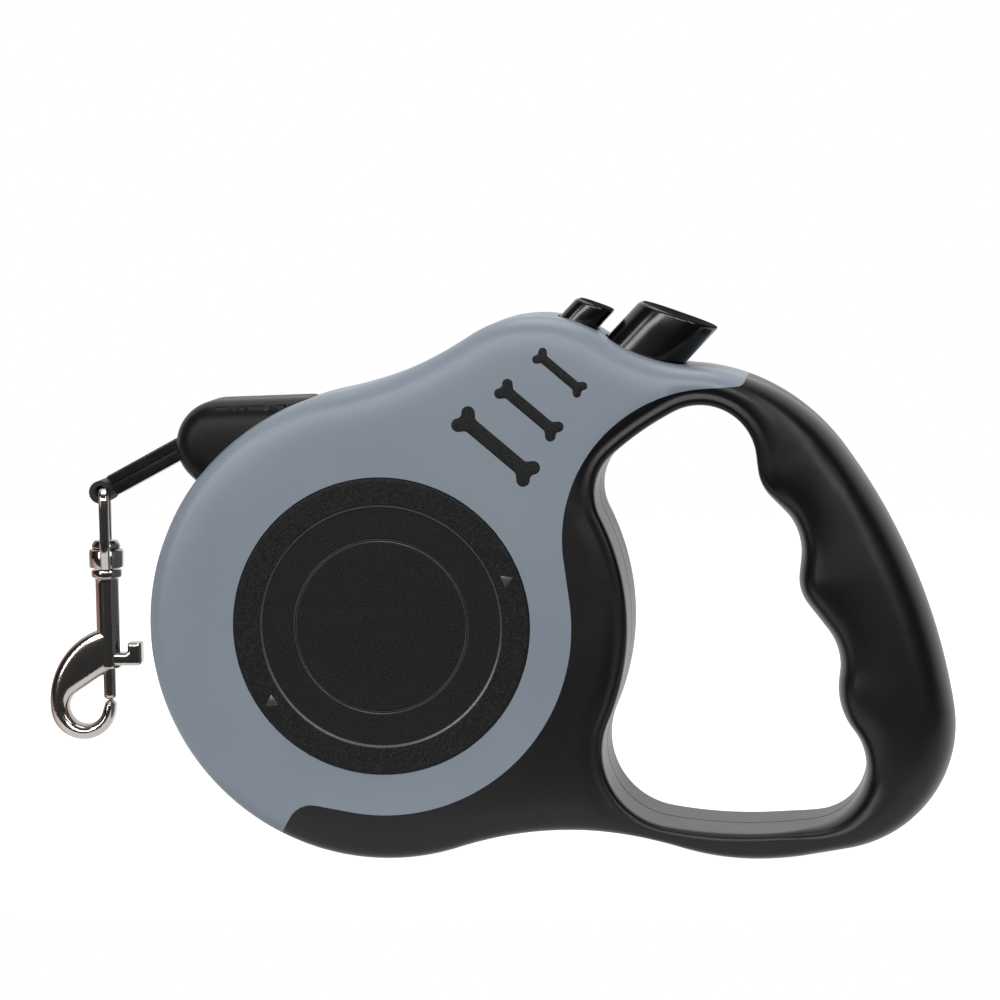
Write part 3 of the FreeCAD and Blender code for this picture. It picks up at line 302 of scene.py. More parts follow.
def face_depth(points):
    """How far the casing's face stands from the middle plane: walls at the edges, then a rounding
    that is tight on the disc and round the thumb, and wide on the grip, with a bead at the opening."""
    to_rim, to_hole = distance(points, rim), distance(points, hole)
    wall = to_rim + to_hole
    grip = smooth(64, 98, points[:, 0])
    angle = np.degrees(np.arctan2(points[:, 1] - 45, points[:, 0] - 70))
    fingers = smooth(-78, -52, angle) * (1 - smooth(60, 84, angle))
    rim_round = np.minimum(3.6 + 2.6 * grip, 0.34 * wall)
    hole_round = np.minimum(1.2 + 3.4 * fingers, 0.34 * wall)
    rise = (1 - np.exp(-to_rim / rim_round)) * (1 - np.exp(-to_hole / hole_round))
    shape = np.sqrt(np.maximum(2 * rise - rise**2, 0))
    rim_wall = half * (0.68 - 0.5 * grip)
    hole_wall = half * (0.86 - 0.46 * fingers)
    share = to_hole**2 / (to_rim**2 + to_hole**2)
    edge = rim_wall * share + hole_wall * (1 - share)
    bead = 0.4 * np.exp(-(((to_hole - 2.5) / 0.8) ** 2)) * (1 - fingers) * smooth(4.5, 8, wall)
    return edge + (half - edge) * shape - bead


class Moulding:
    """A surface in the making: points in millimetres and the faces between them."""

    def __init__(self):
        self.points, self.faces = [], []

    def add_points(self, flat, depth):
        first = len(self.points)
        self.points += [(x, -y, z) for (x, z), y in zip(flat, depth)]
        return list(range(first, len(self.points)))

    def join(self, lower, upper):
        """A closed strip of faces between two rows of points."""
        for k in range(len(lower)):
            after = (k + 1) % len(lower)
            self.faces.append((lower[k], lower[after], upper[after], upper[k]))

    def border(self, line, inward, depth, room, flip=False, lip=()):
        """The wall and the rounded edge along a border, after rows (inset, height) of a lip if there
        is one. Gives the row where the face begins, flat and by number."""
        rows = [self.add_points(line + inward * inset, np.full(len(line), y)) for inset, y in lip]
        foot = depth(line)
        for share in wall_steps[1:] if lip else wall_steps:
            rows.append(self.add_points(line, foot * share))
        for step in border_steps:
            flat = line + inward * step * room
            rows.append(self.add_points(flat, depth(flat)))
        for lower, upper in zip(rows, rows[1:]):
            if flip:
                self.join(upper, lower)
            else:
                self.join(lower, upper)
        return flat, rows[-1]

    def fill(self, loops, spacing, depth, keep):
        """Triangles between closed rows of points, over a hexagonal spread of more points."""
        row_gap = spacing * 0.866
        flats = np.concatenate([flat for flat, row in loops])
        rows = sum([row for flat, row in loops], [])
        low, high = flats.min(0), flats.max(0)
        spread = []
        for k in range(int((high[1] - low[1]) / row_gap) + 1):
            xs = np.arange(low[0] + (k % 2) * spacing / 2, high[0], spacing)
            spread.append(np.stack([xs, np.full(len(xs), low[1] + k * row_gap)], 1))
        spread = np.concatenate(spread)
        spread = spread[keep(spread)]
        for flat, row in loops:
            spread = spread[distance(spread, flat) > spacing * 0.6]
        rows = rows + self.add_points(spread, depth(spread))
        edges, first = [], 0
        for flat, row in loops:
            edges += [(first + k, first + (k + 1) % len(row)) for k in range(len(row))]
            first += len(row)
        flats = np.concatenate([flats, spread])
        found = delaunay_2d_cdt([Vector(p) for p in flats], edges, [], 0, 1e-5)
        source = [origin[0] for origin in found[3]]
        faces = [tuple(source[v] for v in face) for face in found[2]]
        middles = np.array([flats[list(face)].mean(0) for face in faces])
        for face, wanted in zip(faces, keep(middles)):
            if wanted:
                self.faces.append(tuple(rows[v] for v in face))

    def split(self, values):
        """Cut every face where the value that its points carry passes zero; gives both sides' faces."""
        values = list(values)
        cuts = {}

        def crossing(a, b):
            key = (min(a, b), max(a, b))
            if key not in cuts:
                share = values[a] / (values[a] - values[b])
                start, end = np.array(self.points[a]), np.array(self.points[b])
                self.points.append(tuple(start + (end - start) * share))
                values.append(0.0)
                cuts[key] = len(self.points) - 1
            return cuts[key]

        below, over = [], []
        for face in self.faces:
            signs = [values[v] > 0 for v in face]
            if all(signs):
                over.append(face)
            elif not any(signs):
                below.append(face)
            else:
                low, high = [], []
                for k, here in enumerate(face):
                    after = face[(k + 1) % len(face)]
                    (high if signs[k] else low).append(here)
                    if signs[k] != signs[(k + 1) % len(face)]:
                        cut = crossing(here, after)
                        low.append(cut)
                        high.append(cut)
                below.append(tuple(low))
                over.append(tuple(high))
        return below, over


def to_object(name, points, faces, flip=False):
    """An object of these points, in millimetres, and the faces that use them."""
    used = sorted({v for face in faces for v in face})
    place = {v: k for k, v in enumerate(used)}
    faces = [[place[v] for v in face] for face in faces]
    if flip:
        faces = [face[::-1] for face in faces]
    mesh = bpy.data.meshes.new(name)
    mesh.from_pydata([Vector(points[v]) / 1000 for v in used], [], faces)
    mesh.validate()
    mesh.shade_smooth()
    mesh.set_sharp_from_angle(angle=smooth_angle)
    thing = bpy.data.objects.new(name, mesh)
    bpy.context.scene.collection.objects.link(thing)
    return thing


def change(thing, kind, **settings):
    """Put a modifier on the object and apply it."""
    modifier = thing.modifiers.new(kind, kind)
    for name, value in settings.items():
        setattr(modifier, name, value)
    shaped = thing.evaluated_get(bpy.context.evaluated_depsgraph_get())
    mesh = bpy.data.meshes.new_from_object(shaped)
    thing.modifiers.clear()
    mesh.set_sharp_from_angle(angle=smooth_angle)
    thing.data = mesh


class Finish:
    """A material in the making."""

    def __init__(self, name):
        self.material = bpy.data.materials.new(name)
        self.material.use_nodes = True
        self.tree = self.material.node_tree
        self.shader = self.tree.nodes["Principled BSDF"]
        place = self.make("TexCoord", {}, {}, "Object")
        self.place = self.make("VectorMath", {"operation": "SCALE"}, {"Vector": place, "Scale": 1000})

    def make(self, kind, settings, values, output=0):
        return make(self.tree, kind, settings, values, output)

    def noise(self, size, detail=2.0, roughness=0.5, stretch=(1, 1, 1)):
        """Even noise about 0.5, with blotches of this size in millimetres."""
        where = self.make("VectorMath", {"operation": "MULTIPLY"}, {0: self.place, 1: stretch})
        return self.make("TexNoise", {}, {
            "Vector": where, "Scale": 1 / size, "Detail": detail, "Roughness": roughness})

    def colour(self, start, end, share):
        """A colour between two, which are a colour mix node's sockets 6 and 7."""
        return self.make("Mix", {"data_type": "RGBA"}, {0: share, 6: start, 7: end}, 2)

    def relief(self, height, depth):
        """Bump of this depth in millimetres where the height's value is 1."""
        bump = self.make("Bump", {}, {"Height": height, "Distance": depth / 1000, "Strength": 1})
        plug(bump, self.shader.inputs["Normal"])

    def set(self, values):
        """Plug these values into the shader's sockets, and give the finished material."""
        for name, value in values.items():
            plug(value, self.shader.inputs[name])
        return self.material


def shade(red, green, blue):
    """A colour from its 0 to 255 screen values."""
    parts = [v / 255 for v in (red, green, blue)]
    return tuple(v / 12.92 if v < 0.04045 else ((v + 0.055) / 1.055) ** 2.4 for v in parts) + (1,)


grey = Finish("GreyAbs")
clouds = grey.noise(30, 3.0)
grain = grey.noise(0.28, 2.0, 0.6)
tint = grey.colour(shade(120, 130, 142), shade(133, 142, 153), clouds)
grey.relief(grain, 0.004)
grey_abs = grey.set({
    "Base Color": grey.colour(tint, shade(150, 158, 168), grain.between(0.55, 0.85) * 0.35),
    "Roughness": 0.34 + 0.12 * grain,
    "Specular IOR Level": 0.5,
})

black = Finish("SoftTouch")
pores = black.noise(0.33, 2.0, 0.65)
worn = black.noise(14, 4.0, 0.6)
black.relief(pores, 0.01)
soft_touch = black.set({
    "Base Color": black.colour(shade(3, 3, 3), shade(8, 8, 8), pores * 0.6 + worn * 0.4),
    "Roughness": 0.31 + 0.1 * worn,
    "Specular IOR Level": 0.35,
})

# Where the halves meet, rows of the groove as (inset, height) from the middle plane.
parting = ((0.16, 0), (0.13, 0.13), (0, 0.28))
skin = Moulding()
outer_flat, outer_row = skin.border(
    rim, rim_in, face_depth, np.minimum(1, distance(rim, hole) / 7.6)[:, None], lip=parting)
inner_flat, inner_row = skin.border(
    hole, -hole_in, face_depth, np.minimum(1, distance(hole, rim) / 7.6)[:, None], True, parting)
skin.fill([(outer_flat, outer_row), (inner_flat, inner_row)], 1.6, face_depth,
          lambda spots: inside(spots, outer_flat) & ~inside(spots, inner_flat))
flat = np.array(skin.points)[:, (0, 2)]
reach = distance(flat, grip_edge)
grey_faces, black_faces = skin.split(np.where(inside(flat, grip_edge), reach, -reach))
halves = []
for side in ("front", "rear"):
    points = skin.points if side == "front" else [(x, -y, z) for x, y, z in skin.points]
    for label, faces, material, node in (
        ("grey_half", grey_faces, grey_abs, "shell"), ("grip_half", black_faces, soft_touch, "grip"),
    ):
        piece = to_object(side + "_" + label, points, faces, side == "rear")
        change(piece, "SOLIDIFY", thickness=0.0009, offset=-1)
        piece.data.materials.append(material)
        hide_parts(side + "_" + node)
        "grey_shell" if node == "shell" else "black_grip"
        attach(piece, "casing")
        halves.append(piece)


# ---- Buttons
# Two gloss black caps that stand out of the casing's shoulder, the large one for the brake and the small
# one for its lock. Both are moulded with soft corners and a slanting top with a slight dish in the middle.


def cut(pieces, cutter):
    """Cut the cutter's shape out of each piece, and remove the cutter."""
    for piece in pieces:
        change(piece, "BOOLEAN", object=cutter, operation="DIFFERENCE", solver="EXACT")
    bpy.data.objects.remove(cutter)


def axes(origin, along, up):
    """A frame in millimetres: along, across and up, with across towards the back of the casing."""
    along, up = Vector(along).normalized(), Vector(up).normalized()
    turn = Matrix((along, Vector((0, 1, 0)), up)).transposed().to_4x4()
    return Matrix.Translation(Vector(origin)) @ turn


def ring_points(long, wide, corner, sides=8):
    """Round-cornered rectangle about the origin, in order."""
    around = []
    for k, (sx, sy) in enumerate(((1, 1), (-1, 1), (-1, -1), (1, -1))):
        for n in range(sides + 1):
            angle = math.pi / 2 * (k + n / sides)
            around.append((sx * (long - corner) + corner * math.cos(angle),
                           sy * (wide - corner) + corner * math.sin(angle)))
    return np.array(around)


def skinned(name, rows):
    """A closed object whose skin joins rows of points, each a ring, given in millimetres."""
    count = len(rows[0])
    points = [tuple(p) for row in rows for p in row]
    faces = []
    for r in range(len(rows) - 1):
        for k in range(count):
            after = (k + 1) % count
            faces.append((r * count + k, r * count + after, (r + 1) * count + after, (r + 1) * count + k))
    faces.append(tuple(reversed(range(count))))
    faces.append(tuple(range(len(points) - count, len(points))))
    return to_object(name, points, faces)


def slab(name, place, long, wide, corner, low, high, edge, slope=0.0, crown=0.0, foot=0.0):
    """A block with round corners: straight sides from low to high and rounded edges at the top, and
    at the bottom if foot is given. Its top may slope along its length and swell in the middle."""
    rows = []

    def row(inset, height, tilt, shrink=1.0):
        ring = ring_points(long - inset, wide - inset, max(corner - inset, 0.05)) * shrink
        rows.append([place @ Vector((a, b, height + tilt * a)) for a, b in ring])

    if foot:
        for shrink in (0.02, 0.4, 0.75, 0.95):
            row(foot, low, 0, shrink)
        for angle in np.radians(np.linspace(90, 0, 6)):
            row(foot * (1 - math.cos(angle)), low + foot * (1 - math.sin(angle)), 0)
    else:
        row(0, low, 0)
    for share in (0.35, 0.7):
        row(0, low + foot + (high - edge - low - foot) * share, slope * share)
    for angle in np.radians(np.linspace(0, 90, 8)):
        row(edge * (1 - math.cos(angle)), high - edge * (1 - math.sin(angle)), slope)
    for shrink in (0.97, 0.92, 0.85, 0.75, 0.6, 0.4, 0.2, 0.02):
        row(edge, high + crown * (1 - shrink**2), slope, shrink)
    return skinned(name, rows)


gloss = Finish("GlossBlack")
smears = gloss.noise(5, 3.0, 0.6)
gloss.relief(gloss.noise(0.5, 1.0), 0.001)
gloss_black = gloss.set({
    "Base Color": gloss.colour(shade(5, 5, 5), shade(11, 11, 11), smears),
    "Roughness": 0.14 + 0.1 * smears,
    "Specular IOR Level": 0.5,
})
# Painted shade: the caps' upward faces get a dull copy of the black, almost without reflection, so that
# they stay dark under the bright room above and behind.
shaded_top_finish = Finish("ShadedCapTop")
shaded_cap_top = shaded_top_finish.set({
    "Base Color": shaded_top_finish.colour(shade(10, 10, 10), shade(18, 18, 18), shaded_top_finish.noise(0.4)),
    "Roughness": 0.7,
    "Specular IOR Level": 0.03,
})
press = axes((0, 0, disc), (0.7192, 0, -0.6948), (0.6948, 0, 0.7192))
upward = press.to_3x3().col[2]
# A face gets the dull top material, painted shade with its reflection taken out, where the cosine of its
# lean is above this.
faces_up = 0.75
top_slope, top_edge, clearance = 0.444, 0.8, 0.4
# Each cap's middle along the shoulder, half its length and width, corner, height range and crown.
for name, node, body, middle, long, wide, corner, low, high, crown in (
    ("brake_cap", "brake_button", "brake", 0.5, 7.6, 8, 6.0, 72.2, 86.2, -1.1),
    ("lock_cap", "lock_button", "lock", -13.2, 3.65, 5, 3.2, 66.4, 76.2, -0.5),
):
    place = press @ Matrix.Translation((middle, 0, 0))
    cap = slab(name, place, long, wide, corner, low, high, top_edge, top_slope, crown)
    cap.data.materials.append(gloss_black)
    cap.data.materials.append(shaded_cap_top)
    for face in cap.data.polygons:
        if face.normal.dot(upward) > faces_up:
            face.material_index = 1
    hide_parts(node)
    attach(cap, body)
    cut(halves, slab("well", place, long + clearance, wide + clearance, corner + clearance,
                     low - 12, high + 12, 0.5))


# ---- Screw wells
# Four round wells, moulded in with the rear half. The casing's cross-head screws are driven in from
# there, and their heads sit below the face.

screw_spots = (
    (disc - 36, disc + 50.5), (disc - 6.5, disc - 35), (disc + 55.5, disc - 33), (disc + 29, disc + 43),
)
well_radius, well_floor = 3.0, 10.2
for x, z in screw_spots:
    place = axes((x, 0, z), (1, 0, 0), (0, 0, 1)) @ Matrix.Rotation(math.radians(-90), 4, "X")
    cut(halves[2:], slab("well", place, well_radius, well_radius, well_radius, well_floor, 20, 0.5))


# ---- Hub pads
# A round black rubber pad pressed into each side: a raised band round a shallow dish, a fine ring
# groove in the dish, and two little triangles in the band. The rear one is the same.


def lathe(name, place, profile, sides=144):
    """Turn a profile of (radius, height) points round the up axis of the given frame."""
    rows = []
    for radius, height in profile:
        around = np.linspace(0, 2 * math.pi, sides + 1)[:-1]
        rows.append([place @ Vector((radius * math.cos(a), radius * math.sin(a), height)) for a in around])
    return skinned(name, rows)


rubber = Finish("HubRubber")
fleck = rubber.noise(0.24, 1.5, 0.6)
scuff = rubber.noise(9, 4.0, 0.65, (1, 1, 2.5))
rubber.relief(fleck, 0.03)
hub_rubber = rubber.set({
    "Base Color": rubber.colour(
        shade(5, 5, 5), shade(60, 62, 62), fleck.between(0.42, 0.7) * 0.42 + 0.05 * scuff),
    "Roughness": 0.45 + 0.1 * scuff,
    "Specular IOR Level": 0.16,
})
# Painted highlight: a lighter, shinier rubber on the step's slanting faces stands in for the glint of light
# along that edge. The two triangles use it as their own lighter colour.
glint_and_mark_finish = Finish("GlintAndMarkRubber")
glint_and_mark_rubber = glint_and_mark_finish.set({
    "Base Color": glint_and_mark_finish.colour(shade(38, 39, 39), shade(74, 76, 76), glint_and_mark_finish.noise(0.5)),
    "Roughness": 0.3,
    "Specular IOR Level": 0.6,
})
pad_profile = [
    (30.1, 13.2), (30.1, 14.0), (30.03, 14.12), (29.9, 14.2), (29.7, 14.24), (29.4, 14.25),
    (29.2, 14.25), (24.95, 14.25), (24.8, 14.25), (24.6, 14.23), (24.2, 13.94), (24.0, 13.92),
    (23.8, 13.92), (18.1, 13.92), (17.95, 13.92), (17.8, 13.9), (17.6, 13.68), (17.5, 13.66),
    (17.4, 13.68), (17.2, 13.9), (17.05, 13.92), (16.9, 13.92), (12, 13.92), (6, 13.92),
    (0.1, 13.92),
]
seat_radius, band_middle = 30.2, 27.2
mark_profile = [(1.5, 14.1), (1.5, 14.28), (1.42, 14.31), (0.05, 14.31)]
# The step inside the band: its slanting faces below the band and within this reach get the lighter, shinier
# rubber as a painted glint.
below_band, step_reach = 0.01423, 0.0285
hub = Vector((0, 0, disc / 1000))
for side, sign in (("front", -1), ("rear", 1)):
    place = axes((0, 0, disc), (1, 0, 0), (0, 0, 1)) @ Matrix.Rotation(math.radians(-90 * sign), 4, "X")
    pad = lathe(side + "_pad", place, pad_profile)
    seat = lathe("seat", place, [(0.1, 10), (seat_radius, 10), (seat_radius, 20), (0.1, 20)])
    cut(halves[:2] if side == "front" else halves[2:], seat)
    pad.data.materials.append(hub_rubber)
    pad.data.materials.append(glint_and_mark_rubber)
    for face in pad.data.polygons:
        on_step = abs(face.center.y) < below_band and (face.center - hub).length < step_reach
        if on_step and abs(face.normal.y) < 0.9:
            face.material_index = 1
    for number, angle in enumerate((20, -146)):
        spot = (place @ Matrix.Rotation(math.radians(-angle * sign), 4, "Z")
                @ Matrix.Translation((band_middle, 0, 0)))
        mark = lathe(side + "_pad_mark_%d" % number, spot, mark_profile, 3)
        mark.data.materials.append(glint_and_mark_rubber)
        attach(mark, "casing")
    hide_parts(side + "_hub_pad")
    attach(pad, "casing")


# ---- Bone inlays
# Three bone-shaped black rubber inlays of falling size on the nose of each half. They are pressed in
# and follow the swell of its face, just proud of it, with a soft edge.

inlay = Finish("BoneRubber")
speck = inlay.noise(0.24, 1.5, 0.6)
inlay.relief(speck, 0.025)
bone_rubber = inlay.set({
    "Base Color": inlay.colour(shade(14, 15, 15), shade(66, 68, 67), speck.between(0.42, 0.7) * 0.45),
    "Roughness": 0.5 + 0.1 * speck,
    "Specular IOR Level": 0.16,
})
bone_stops = (
    (8.5, -1.6, 1.4, 1), (None, None, 1, -1), (8.5, 1.6, 1.4, 1), (6.1, 2.55, 1, -1),
    (-6.1, 2.55, 1, -1), (-8.5, 1.6, 1.4, 1), (None, None, 1, -1), (-8.5, -1.6, 1.4, 1),
    (-6.1, -2.55, 1, -1), (6.1, -2.55, 1, -1),
)
bone_tilt = math.radians(-40.7)
turned = np.array(((math.cos(bone_tilt), math.sin(bone_tilt)), (-math.sin(bone_tilt), math.cos(bone_tilt))))
for side in ("front", "rear"):
    everything, every_face = [], []
    for x, z, scale in (
        (disc - 24.1, disc + 36.2, 1.0), (disc - 17.3, disc + 43.4, 0.78), (disc - 11, disc + 50.8, 0.62),
    ):
        stops = [tuple(v if v is None else v * scale for v in stop[:3]) + stop[3:] for stop in bone_stops]
        outline, outline_in = belt(stops, 0.25)
        line = outline @ turned + np.array((x, z))

        def swell(spots):
            return face_depth(spots) + 0.14 * (1 - np.exp(-distance(spots, line) / 0.16)) - 0.02

        # Its wall is one strip, down to a foot half a millimetre deep in the casing.
        bone = Moulding()
        foot_row = bone.add_points(line, face_depth(line) - 0.5)
        edge_flat, edge_row = bone.border(line, outline_in @ turned, swell, 0.11 * scale)
        wall_top = len(line) * len(wall_steps)
        bone.faces = [face for face in bone.faces if min(face) >= wall_top]
        bone.join(foot_row, list(range(wall_top, wall_top + len(line))))
        bone.fill([(edge_flat, edge_row)], 0.6, swell, lambda spots: inside(spots, edge_flat))
        first = len(everything)
        everything += bone.points
        every_face += [tuple(first + v for v in face) for face in bone.faces]
    if side == "rear":
        everything = [(x, -y, z) for x, y, z in everything]
    piece = to_object(side + "_bones", everything, every_face, side == "rear")
    change(piece, "SOLIDIFY", thickness=0.0004, offset=-1)
    piece.data.materials.append(bone_rubber)
    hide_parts(side + "_bone_inlays")
    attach(piece, "casing")


# ---- Nozzle
# A matt black moulding held between the halves, from which the tape runs out through a slot. Its
# sides swell towards the middle and its corners are round.


def pillow(name, line, inward, half_depth, wall, round_off, reach, spacing):
    """A plate with this outline whose two sides swell to half_depth, with a wall at its edge. The
    rows of its rounding reach this far in, and the points behind them are spacing apart."""

    def depth(spots):
        rise = 1 - np.exp(-distance(spots, line) / round_off)
        return wall + (half_depth - wall) * np.sqrt(np.maximum(2 * rise - rise**2, 0))

    half_shape = Moulding()
    face_flat, face_row = half_shape.border(line, inward, depth, reach / border_steps[-1])
    half_shape.fill([(face_flat, face_row)], spacing, depth, lambda spots: inside(spots, face_flat))
    count = len(half_shape.points)
    points = half_shape.points + [(x, -y, z) for x, y, z in half_shape.points]
    back = [k if k < len(line) else k + count for k in range(count)]
    faces = half_shape.faces + [tuple(back[v] for v in face)[::-1] for face in half_shape.faces]
    return to_object(name, points, faces)


matt = Finish("NozzleBlack")
dust = matt.noise(0.3, 2.0, 0.6)
matt.relief(dust, 0.02)
nozzle_black = matt.set({
    "Base Color": matt.colour(shade(4, 4, 5), shade(30, 30, 32), dust.between(0.5, 0.85)),
    "Roughness": 0.38 + 0.1 * dust,
    "Specular IOR Level": 0.2,
})
nozzle_turn = math.radians(131.3)
nozzle_out = np.array((math.cos(nozzle_turn), math.sin(nozzle_turn)))
nozzle_across = np.array((nozzle_out[1], -nozzle_out[0]))
nozzle_stops = []
for across, out, radius in ((-7.5, 38, 1.5), (19, 38, 1.5), (17, 43.3, 2.2), (-1.0, 49.6, 8.9)):
    spot = np.array((0, disc)) + nozzle_out * out + nozzle_across * across
    nozzle_stops.append((spot[0], spot[1], radius, 1))
nozzle_line, nozzle_in = belt(nozzle_stops, 0.5)
nozzle = pillow("nozzle_moulding", nozzle_line, nozzle_in, 11, 5.2, 3.6, 1.2, 1.0)
# The middle of the tape's mouth, and the way the tape leaves it.
mouth = Vector((-41.031, 0, 84.174))
out_way = Vector((-0.8846, 0, -0.4664))
tape_frame = axes(mouth, out_way, (-0.4664, 0, 0.8846))
endwise = Matrix.Rotation(math.radians(90), 4, "Y")
cut([nozzle], slab("slot", tape_frame @ endwise, 2.55, 5.65, 0.8, -7, 6, 0.3))
nozzle.data.materials.append(nozzle_black)
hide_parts("nozzle")
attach(nozzle, "casing")


# ---- Tape
# Black woven nylon tape, 10 mm wide and 1 mm thick. It runs from inside the nozzle to the sleeve.

nylon = Finish("NylonTape")
threads = nylon.make("TexWave", {"wave_type": "BANDS", "bands_direction": "DIAGONAL"}, {
    "Vector": nylon.place, "Scale": 0.9})
nylon.relief(threads, 0.1)
nylon_tape = nylon.set({
    "Base Color": nylon.colour(
        shade(12, 12, 13), shade(34, 34, 36), threads * 0.7 + 0.3 * nylon.noise(0.6)),
    "Roughness": 0.75,
    "Sheen Weight": 0.2,
})
tape_start, tape_length, tape_pieces = -9, 8.6, 160
tape_rows = []
for k in range(tape_pieces + 1):
    spot = tape_frame @ Matrix.Translation((tape_start + tape_length * k / tape_pieces, 0, 0)) @ endwise
    tape_rows.append([spot @ Vector((a, b, 0)) for a, b in ring_points(0.45, 4.95, 0.3, 2)])
ribbon = skinned("tape_lead", tape_rows)
ribbon.data.materials.append(nylon_tape)
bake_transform(ribbon)


# ---- Sleeve
# The sewn end of the tape sits in a hard, glossy black sleeve. It is moulded in two halves, one above
# and one below the tape, which are riveted together through it.

case_black = Finish("SleeveBlack")
rubbed = case_black.noise(3, 3.0, 0.6)
case_black.relief(case_black.noise(0.4), 0.004)
sleeve_black = case_black.set({
    "Base Color": case_black.colour(shade(9, 9, 10), shade(20, 20, 21), rubbed),
    "Roughness": 0.16 + 0.12 * rubbed,
})
sleeve_middle = tape_frame @ Matrix.Translation((8.1, 0, 0))
for name, node, flip in (
    ("sleeve_top_half", "end_sleeve_upper", 0), ("sleeve_bottom_half", "end_sleeve_lower", 180),
):
    place = sleeve_middle @ Matrix.Rotation(math.radians(flip), 4, "X")
    sleeve = slab(name, place, 9.4, 5.3, 0.7, 0.02, 2.2, 0.28, crown=0.02, foot=0.04)
    cut([sleeve], slab("hollow", sleeve_middle, 12, 5.0, 0.2, -0.52, 0.52, 0.05))
    sleeve.data.materials.append(sleeve_black)
    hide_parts(node)
    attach(sleeve, "leash_end")


# ---- Swivel eye
# A cast, nickel-plated frame round the tape's loop: a bar across the top, two legs and a round block
# that the stud turns in.


def sweep(name, path, side, section):
    """Sweep a section, given as (across, up) points, along a path of (point, forward)."""
    rows = []
    for point, forward in path:
        up = Vector(forward).normalized().cross(side)
        rows.append([point + side * a + up * b for a, b in section])
    return skinned(name, rows)


plate = Finish("PlatedZinc")
cast = plate.noise(0.35, 2.0, 0.65)
tint_blotches = plate.noise(4, 3.0, 0.6)
plate.relief(cast, 0.006)
# Painted reflection: faces turned to the left are tinted reddish brown, as if they reflect something warm
# beside the leash; blotchy noise shifts where the tint begins.
rightward = plate.make("NewGeometry", {}, {}, "Normal").part("X")
painted_reflection_share = (0.5 - rightward * 0.9 + tint_blotches * 0.2).between(0.75, 1.3)
plated_zinc = plate.set({
    "Base Color": plate.colour(shade(176, 172, 166), shade(110, 72, 60), painted_reflection_share),
    "Metallic": 1.0,
    "Roughness": 0.08 + 0.12 * cast,
})
pivot = Vector((-58.988, 0, 74.706))
half_eye, half_foot, bend = 6.7, 4.1, 1.6
path = []
for sign in (-1, 1):
    leg = []
    for z in np.linspace(-15.9, -bend, 8):
        width = half_foot + (half_eye - half_foot) * smooth(-16, -11.5, z)
        leg.append((Vector((0, sign * width, z)), Vector((0, 0, 1))))
    for angle in np.radians(np.linspace(0, 90, 7)[1:]):
        across, rise = bend * math.cos(angle), bend * math.sin(angle)
        leg.append((Vector((0, sign * (half_eye - bend + across), -bend + rise)),
                    Vector((0, -sign * rise, across)) / bend))
    path += leg if sign == -1 else [(point, -way) for point, way in reversed(leg)]
turn = Matrix.Rotation(math.radians(10), 3, "Z")
path = [(pivot + turn @ point, turn @ way) for point, way in path]
eye = sweep("eye_frame", path, turn @ Vector((1, 0, 0)), ring_points(1.0, 1.0, 0.6, 4))
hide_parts("swivel_eye")
block = lathe("eye_block", axes(pivot, (1, 0, 0), (0, 0, 1)), [
    (0.9, -16), (3.0, -16), (3.4, -15.9), (3.6, -15.6),
    (3.6, -12.5), (3.4, -12.15), (3.0, -12), (0.9, -12)], 48)
for piece in (eye, block):
    piece.data.materials.append(plated_zinc)
    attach(piece, "eye")


# ---- Snap hook
# A cast, nickel-plated barrel with a flange on top, drawn down and round into a hook, and the stud
# that holds it in the eye.

snap = axes(pivot, (1, 0, 0), (0, 0, 1))
barrel_low = 37.8 - pivot.z
barrel = lathe("snap_barrel", snap, [
    (1.5, barrel_low + 0.1), (2.1, barrel_low), (2.35, barrel_low + 0.15), (2.45, barrel_low + 0.5),
    (2.45, barrel_low + 1.0), (2.45, -19.2), (2.45, -18.6), (2.55, -18.2), (2.9, -17.95),
    (3.1, -17.85), (3.2, -17.6), (3.2, -16.7), (3.1, -16.4), (2.8, -16.32), (0.9, -16.3)], 48)
cut([barrel], slab("thumb_slot", snap @ Matrix.Translation((2.6, 0, 0)), 1.7, 1.3, 0.3,
                   barrel_low + 0.4, barrel_low + 9, 0.2))
bow = barrel_low - 8
hook_line, hook_in = belt([
    (pivot.x - 5.6, pivot.z + bow, 6.9, 1), (pivot.x + 0.1, pivot.z + bow + 0.25, 1.2, 1),
    (pivot.x - 5.0, pivot.z + bow - 0.1, 3.55, -1), (pivot.x + 0.5, pivot.z + barrel_low + 1, 1, 1),
    (pivot.x + 0.5, pivot.z + barrel_low + 7.5, 1, 1), (pivot.x - 0.5, pivot.z + barrel_low + 7.5, 1, 1),
    (None, None, 16, 1)], 0.4)
bow_piece = pillow("snap_bow", hook_line, hook_in, 2.5, 0.25, 1.5, 0.9, 0.45)
stud = lathe("stud", snap, [
    (1.4, -19.5), (1.4, -12.1), (2.9, -11.9), (3.0, -11.7),
    (3.0, -11.2), (2.4, -10.3), (2.0, -10.2), (0.1, -10.15)], 40)
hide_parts("swivel_stud")
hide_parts("snap_body")
for piece in (barrel, bow_piece, stud):
    piece.data.materials.append(plated_zinc)
    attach(piece, "hook")


# ---- Bolt
# A plated pin that slides in the barrel and closes the hook. It is drawn back by an L-shaped thumb
# post, which stands out through the barrel's slot.

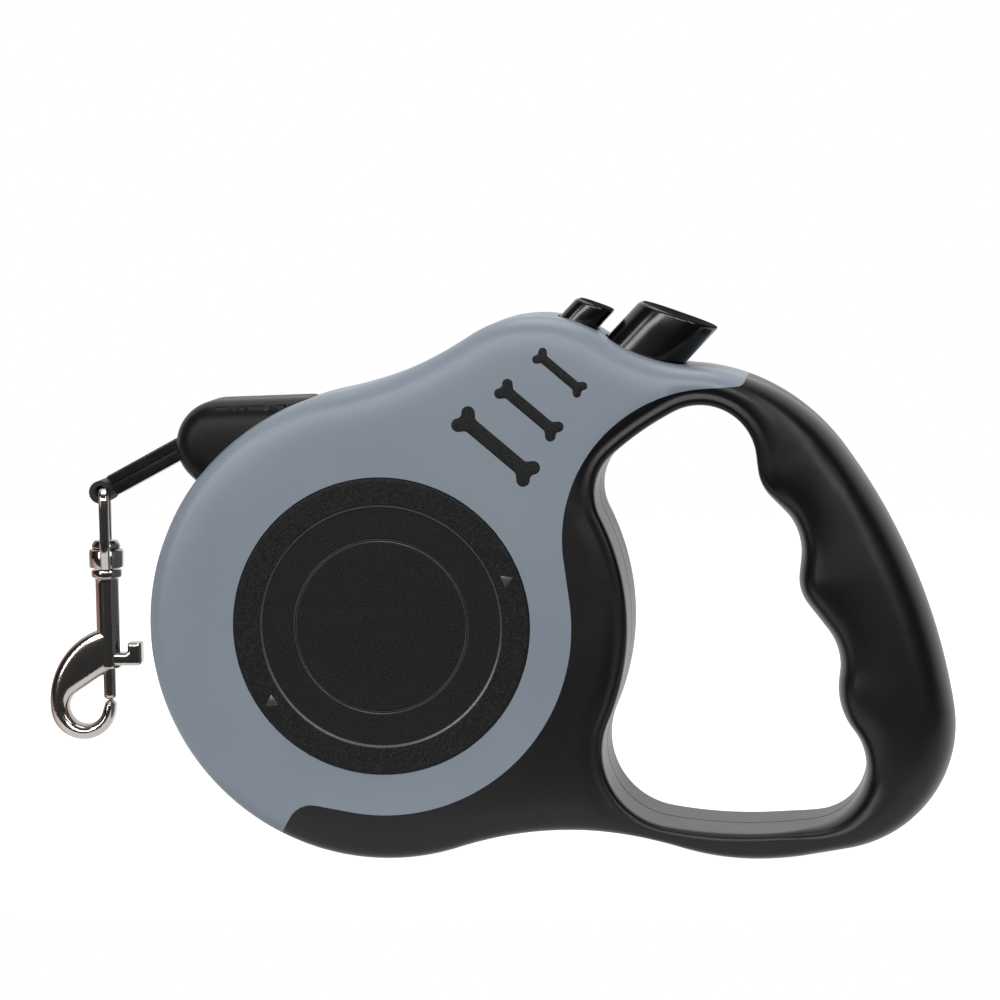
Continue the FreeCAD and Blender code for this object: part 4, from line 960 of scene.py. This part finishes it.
pin = lathe("bolt_pin", snap, [(0.1, bow + 1.5), (0.7, bow + 1.52), (1.1, bow + 1.7), (1.3, bow + 2.1),
                               (1.3, bow + 2.6), (1.3, barrel_low + 5), (0.1, barrel_low + 5.1)], 32)
tab_low = pivot.z + barrel_low + 0.6
tab_line, tab_in = belt([
    (pivot.x + 0.9, tab_low + 0.4, 0.4, 1), (pivot.x + 6.2, tab_low + 0.9, 0.9, 1),
    (pivot.x + 6.5, tab_low + 4.3, 0.6, 1), (pivot.x + 4.8, tab_low + 4.3, 0.6, 1),
    (pivot.x + 3.7, tab_low + 3.2, 0.5, -1), (pivot.x + 0.9, tab_low + 2.3, 0.4, 1)], 0.25)
tab = pillow("bolt_tab", tab_line, tab_in, 2.0, 1.1, 0.5, 0.35, 0.4)
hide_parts("snap_bolt")
for piece in (pin, tab):
    piece.data.materials.append(plated_zinc)
    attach(piece, "bolt")


# ---- Spool and the other inner parts
# The parts inside the casing keep their own shapes: acetal spool and ratchet wheel, bright steel
# axle, springs and screws, black acetal pawl and latch, and the wound tape.

acetal = Finish("Acetal")
acetal_white = acetal.set({
    "Base Color": acetal.colour(shade(214, 212, 205), shade(226, 224, 218), acetal.noise(6)),
    "Roughness": 0.4 + 0.1 * acetal.noise(1),
})
dark_acetal = Finish("BlackAcetal")
acetal_black = dark_acetal.set({
    "Base Color": dark_acetal.colour(shade(20, 20, 21), shade(32, 32, 33), dark_acetal.noise(5)),
    "Roughness": 0.35 + 0.1 * dark_acetal.noise(1),
})
bright = Finish("BrightSteel")
steel_bright = bright.set({
    "Base Color": bright.colour(shade(176, 178, 182), shade(200, 202, 205), bright.noise(3)),
    "Metallic": 1.0,
    "Roughness": 0.25 + 0.15 * bright.noise(0.8, stretch=(1, 6, 1)),
})
blued = Finish("SpringSteel")
spring_blue = blued.set({
    "Base Color": blued.colour(shade(84, 88, 98), shade(112, 114, 122), blued.noise(4)),
    "Metallic": 1.0,
    "Roughness": 0.3 + 0.1 * blued.noise(0.8),
})
finishes = {
    "grey_shell": grey_abs, "black_grip": soft_touch, "hub_rubber": hub_rubber, "bone_rubber": bone_rubber,
    "nozzle_black": nozzle_black, "button_black": gloss_black, "acetal": acetal_white,
    "black_acetal": acetal_black, "spring_steel": spring_blue, "steel": steel_bright,
    "nylon_tape": nylon_tape, "sleeve_black": sleeve_black, "plated_zinc": plated_zinc,
}
for part in frame["record"]["subparts"]:
    mesh = frame["nodes"][part["node"]].data
    mesh.materials.clear()
    mesh.materials.append(finishes[part["material_slot"]])
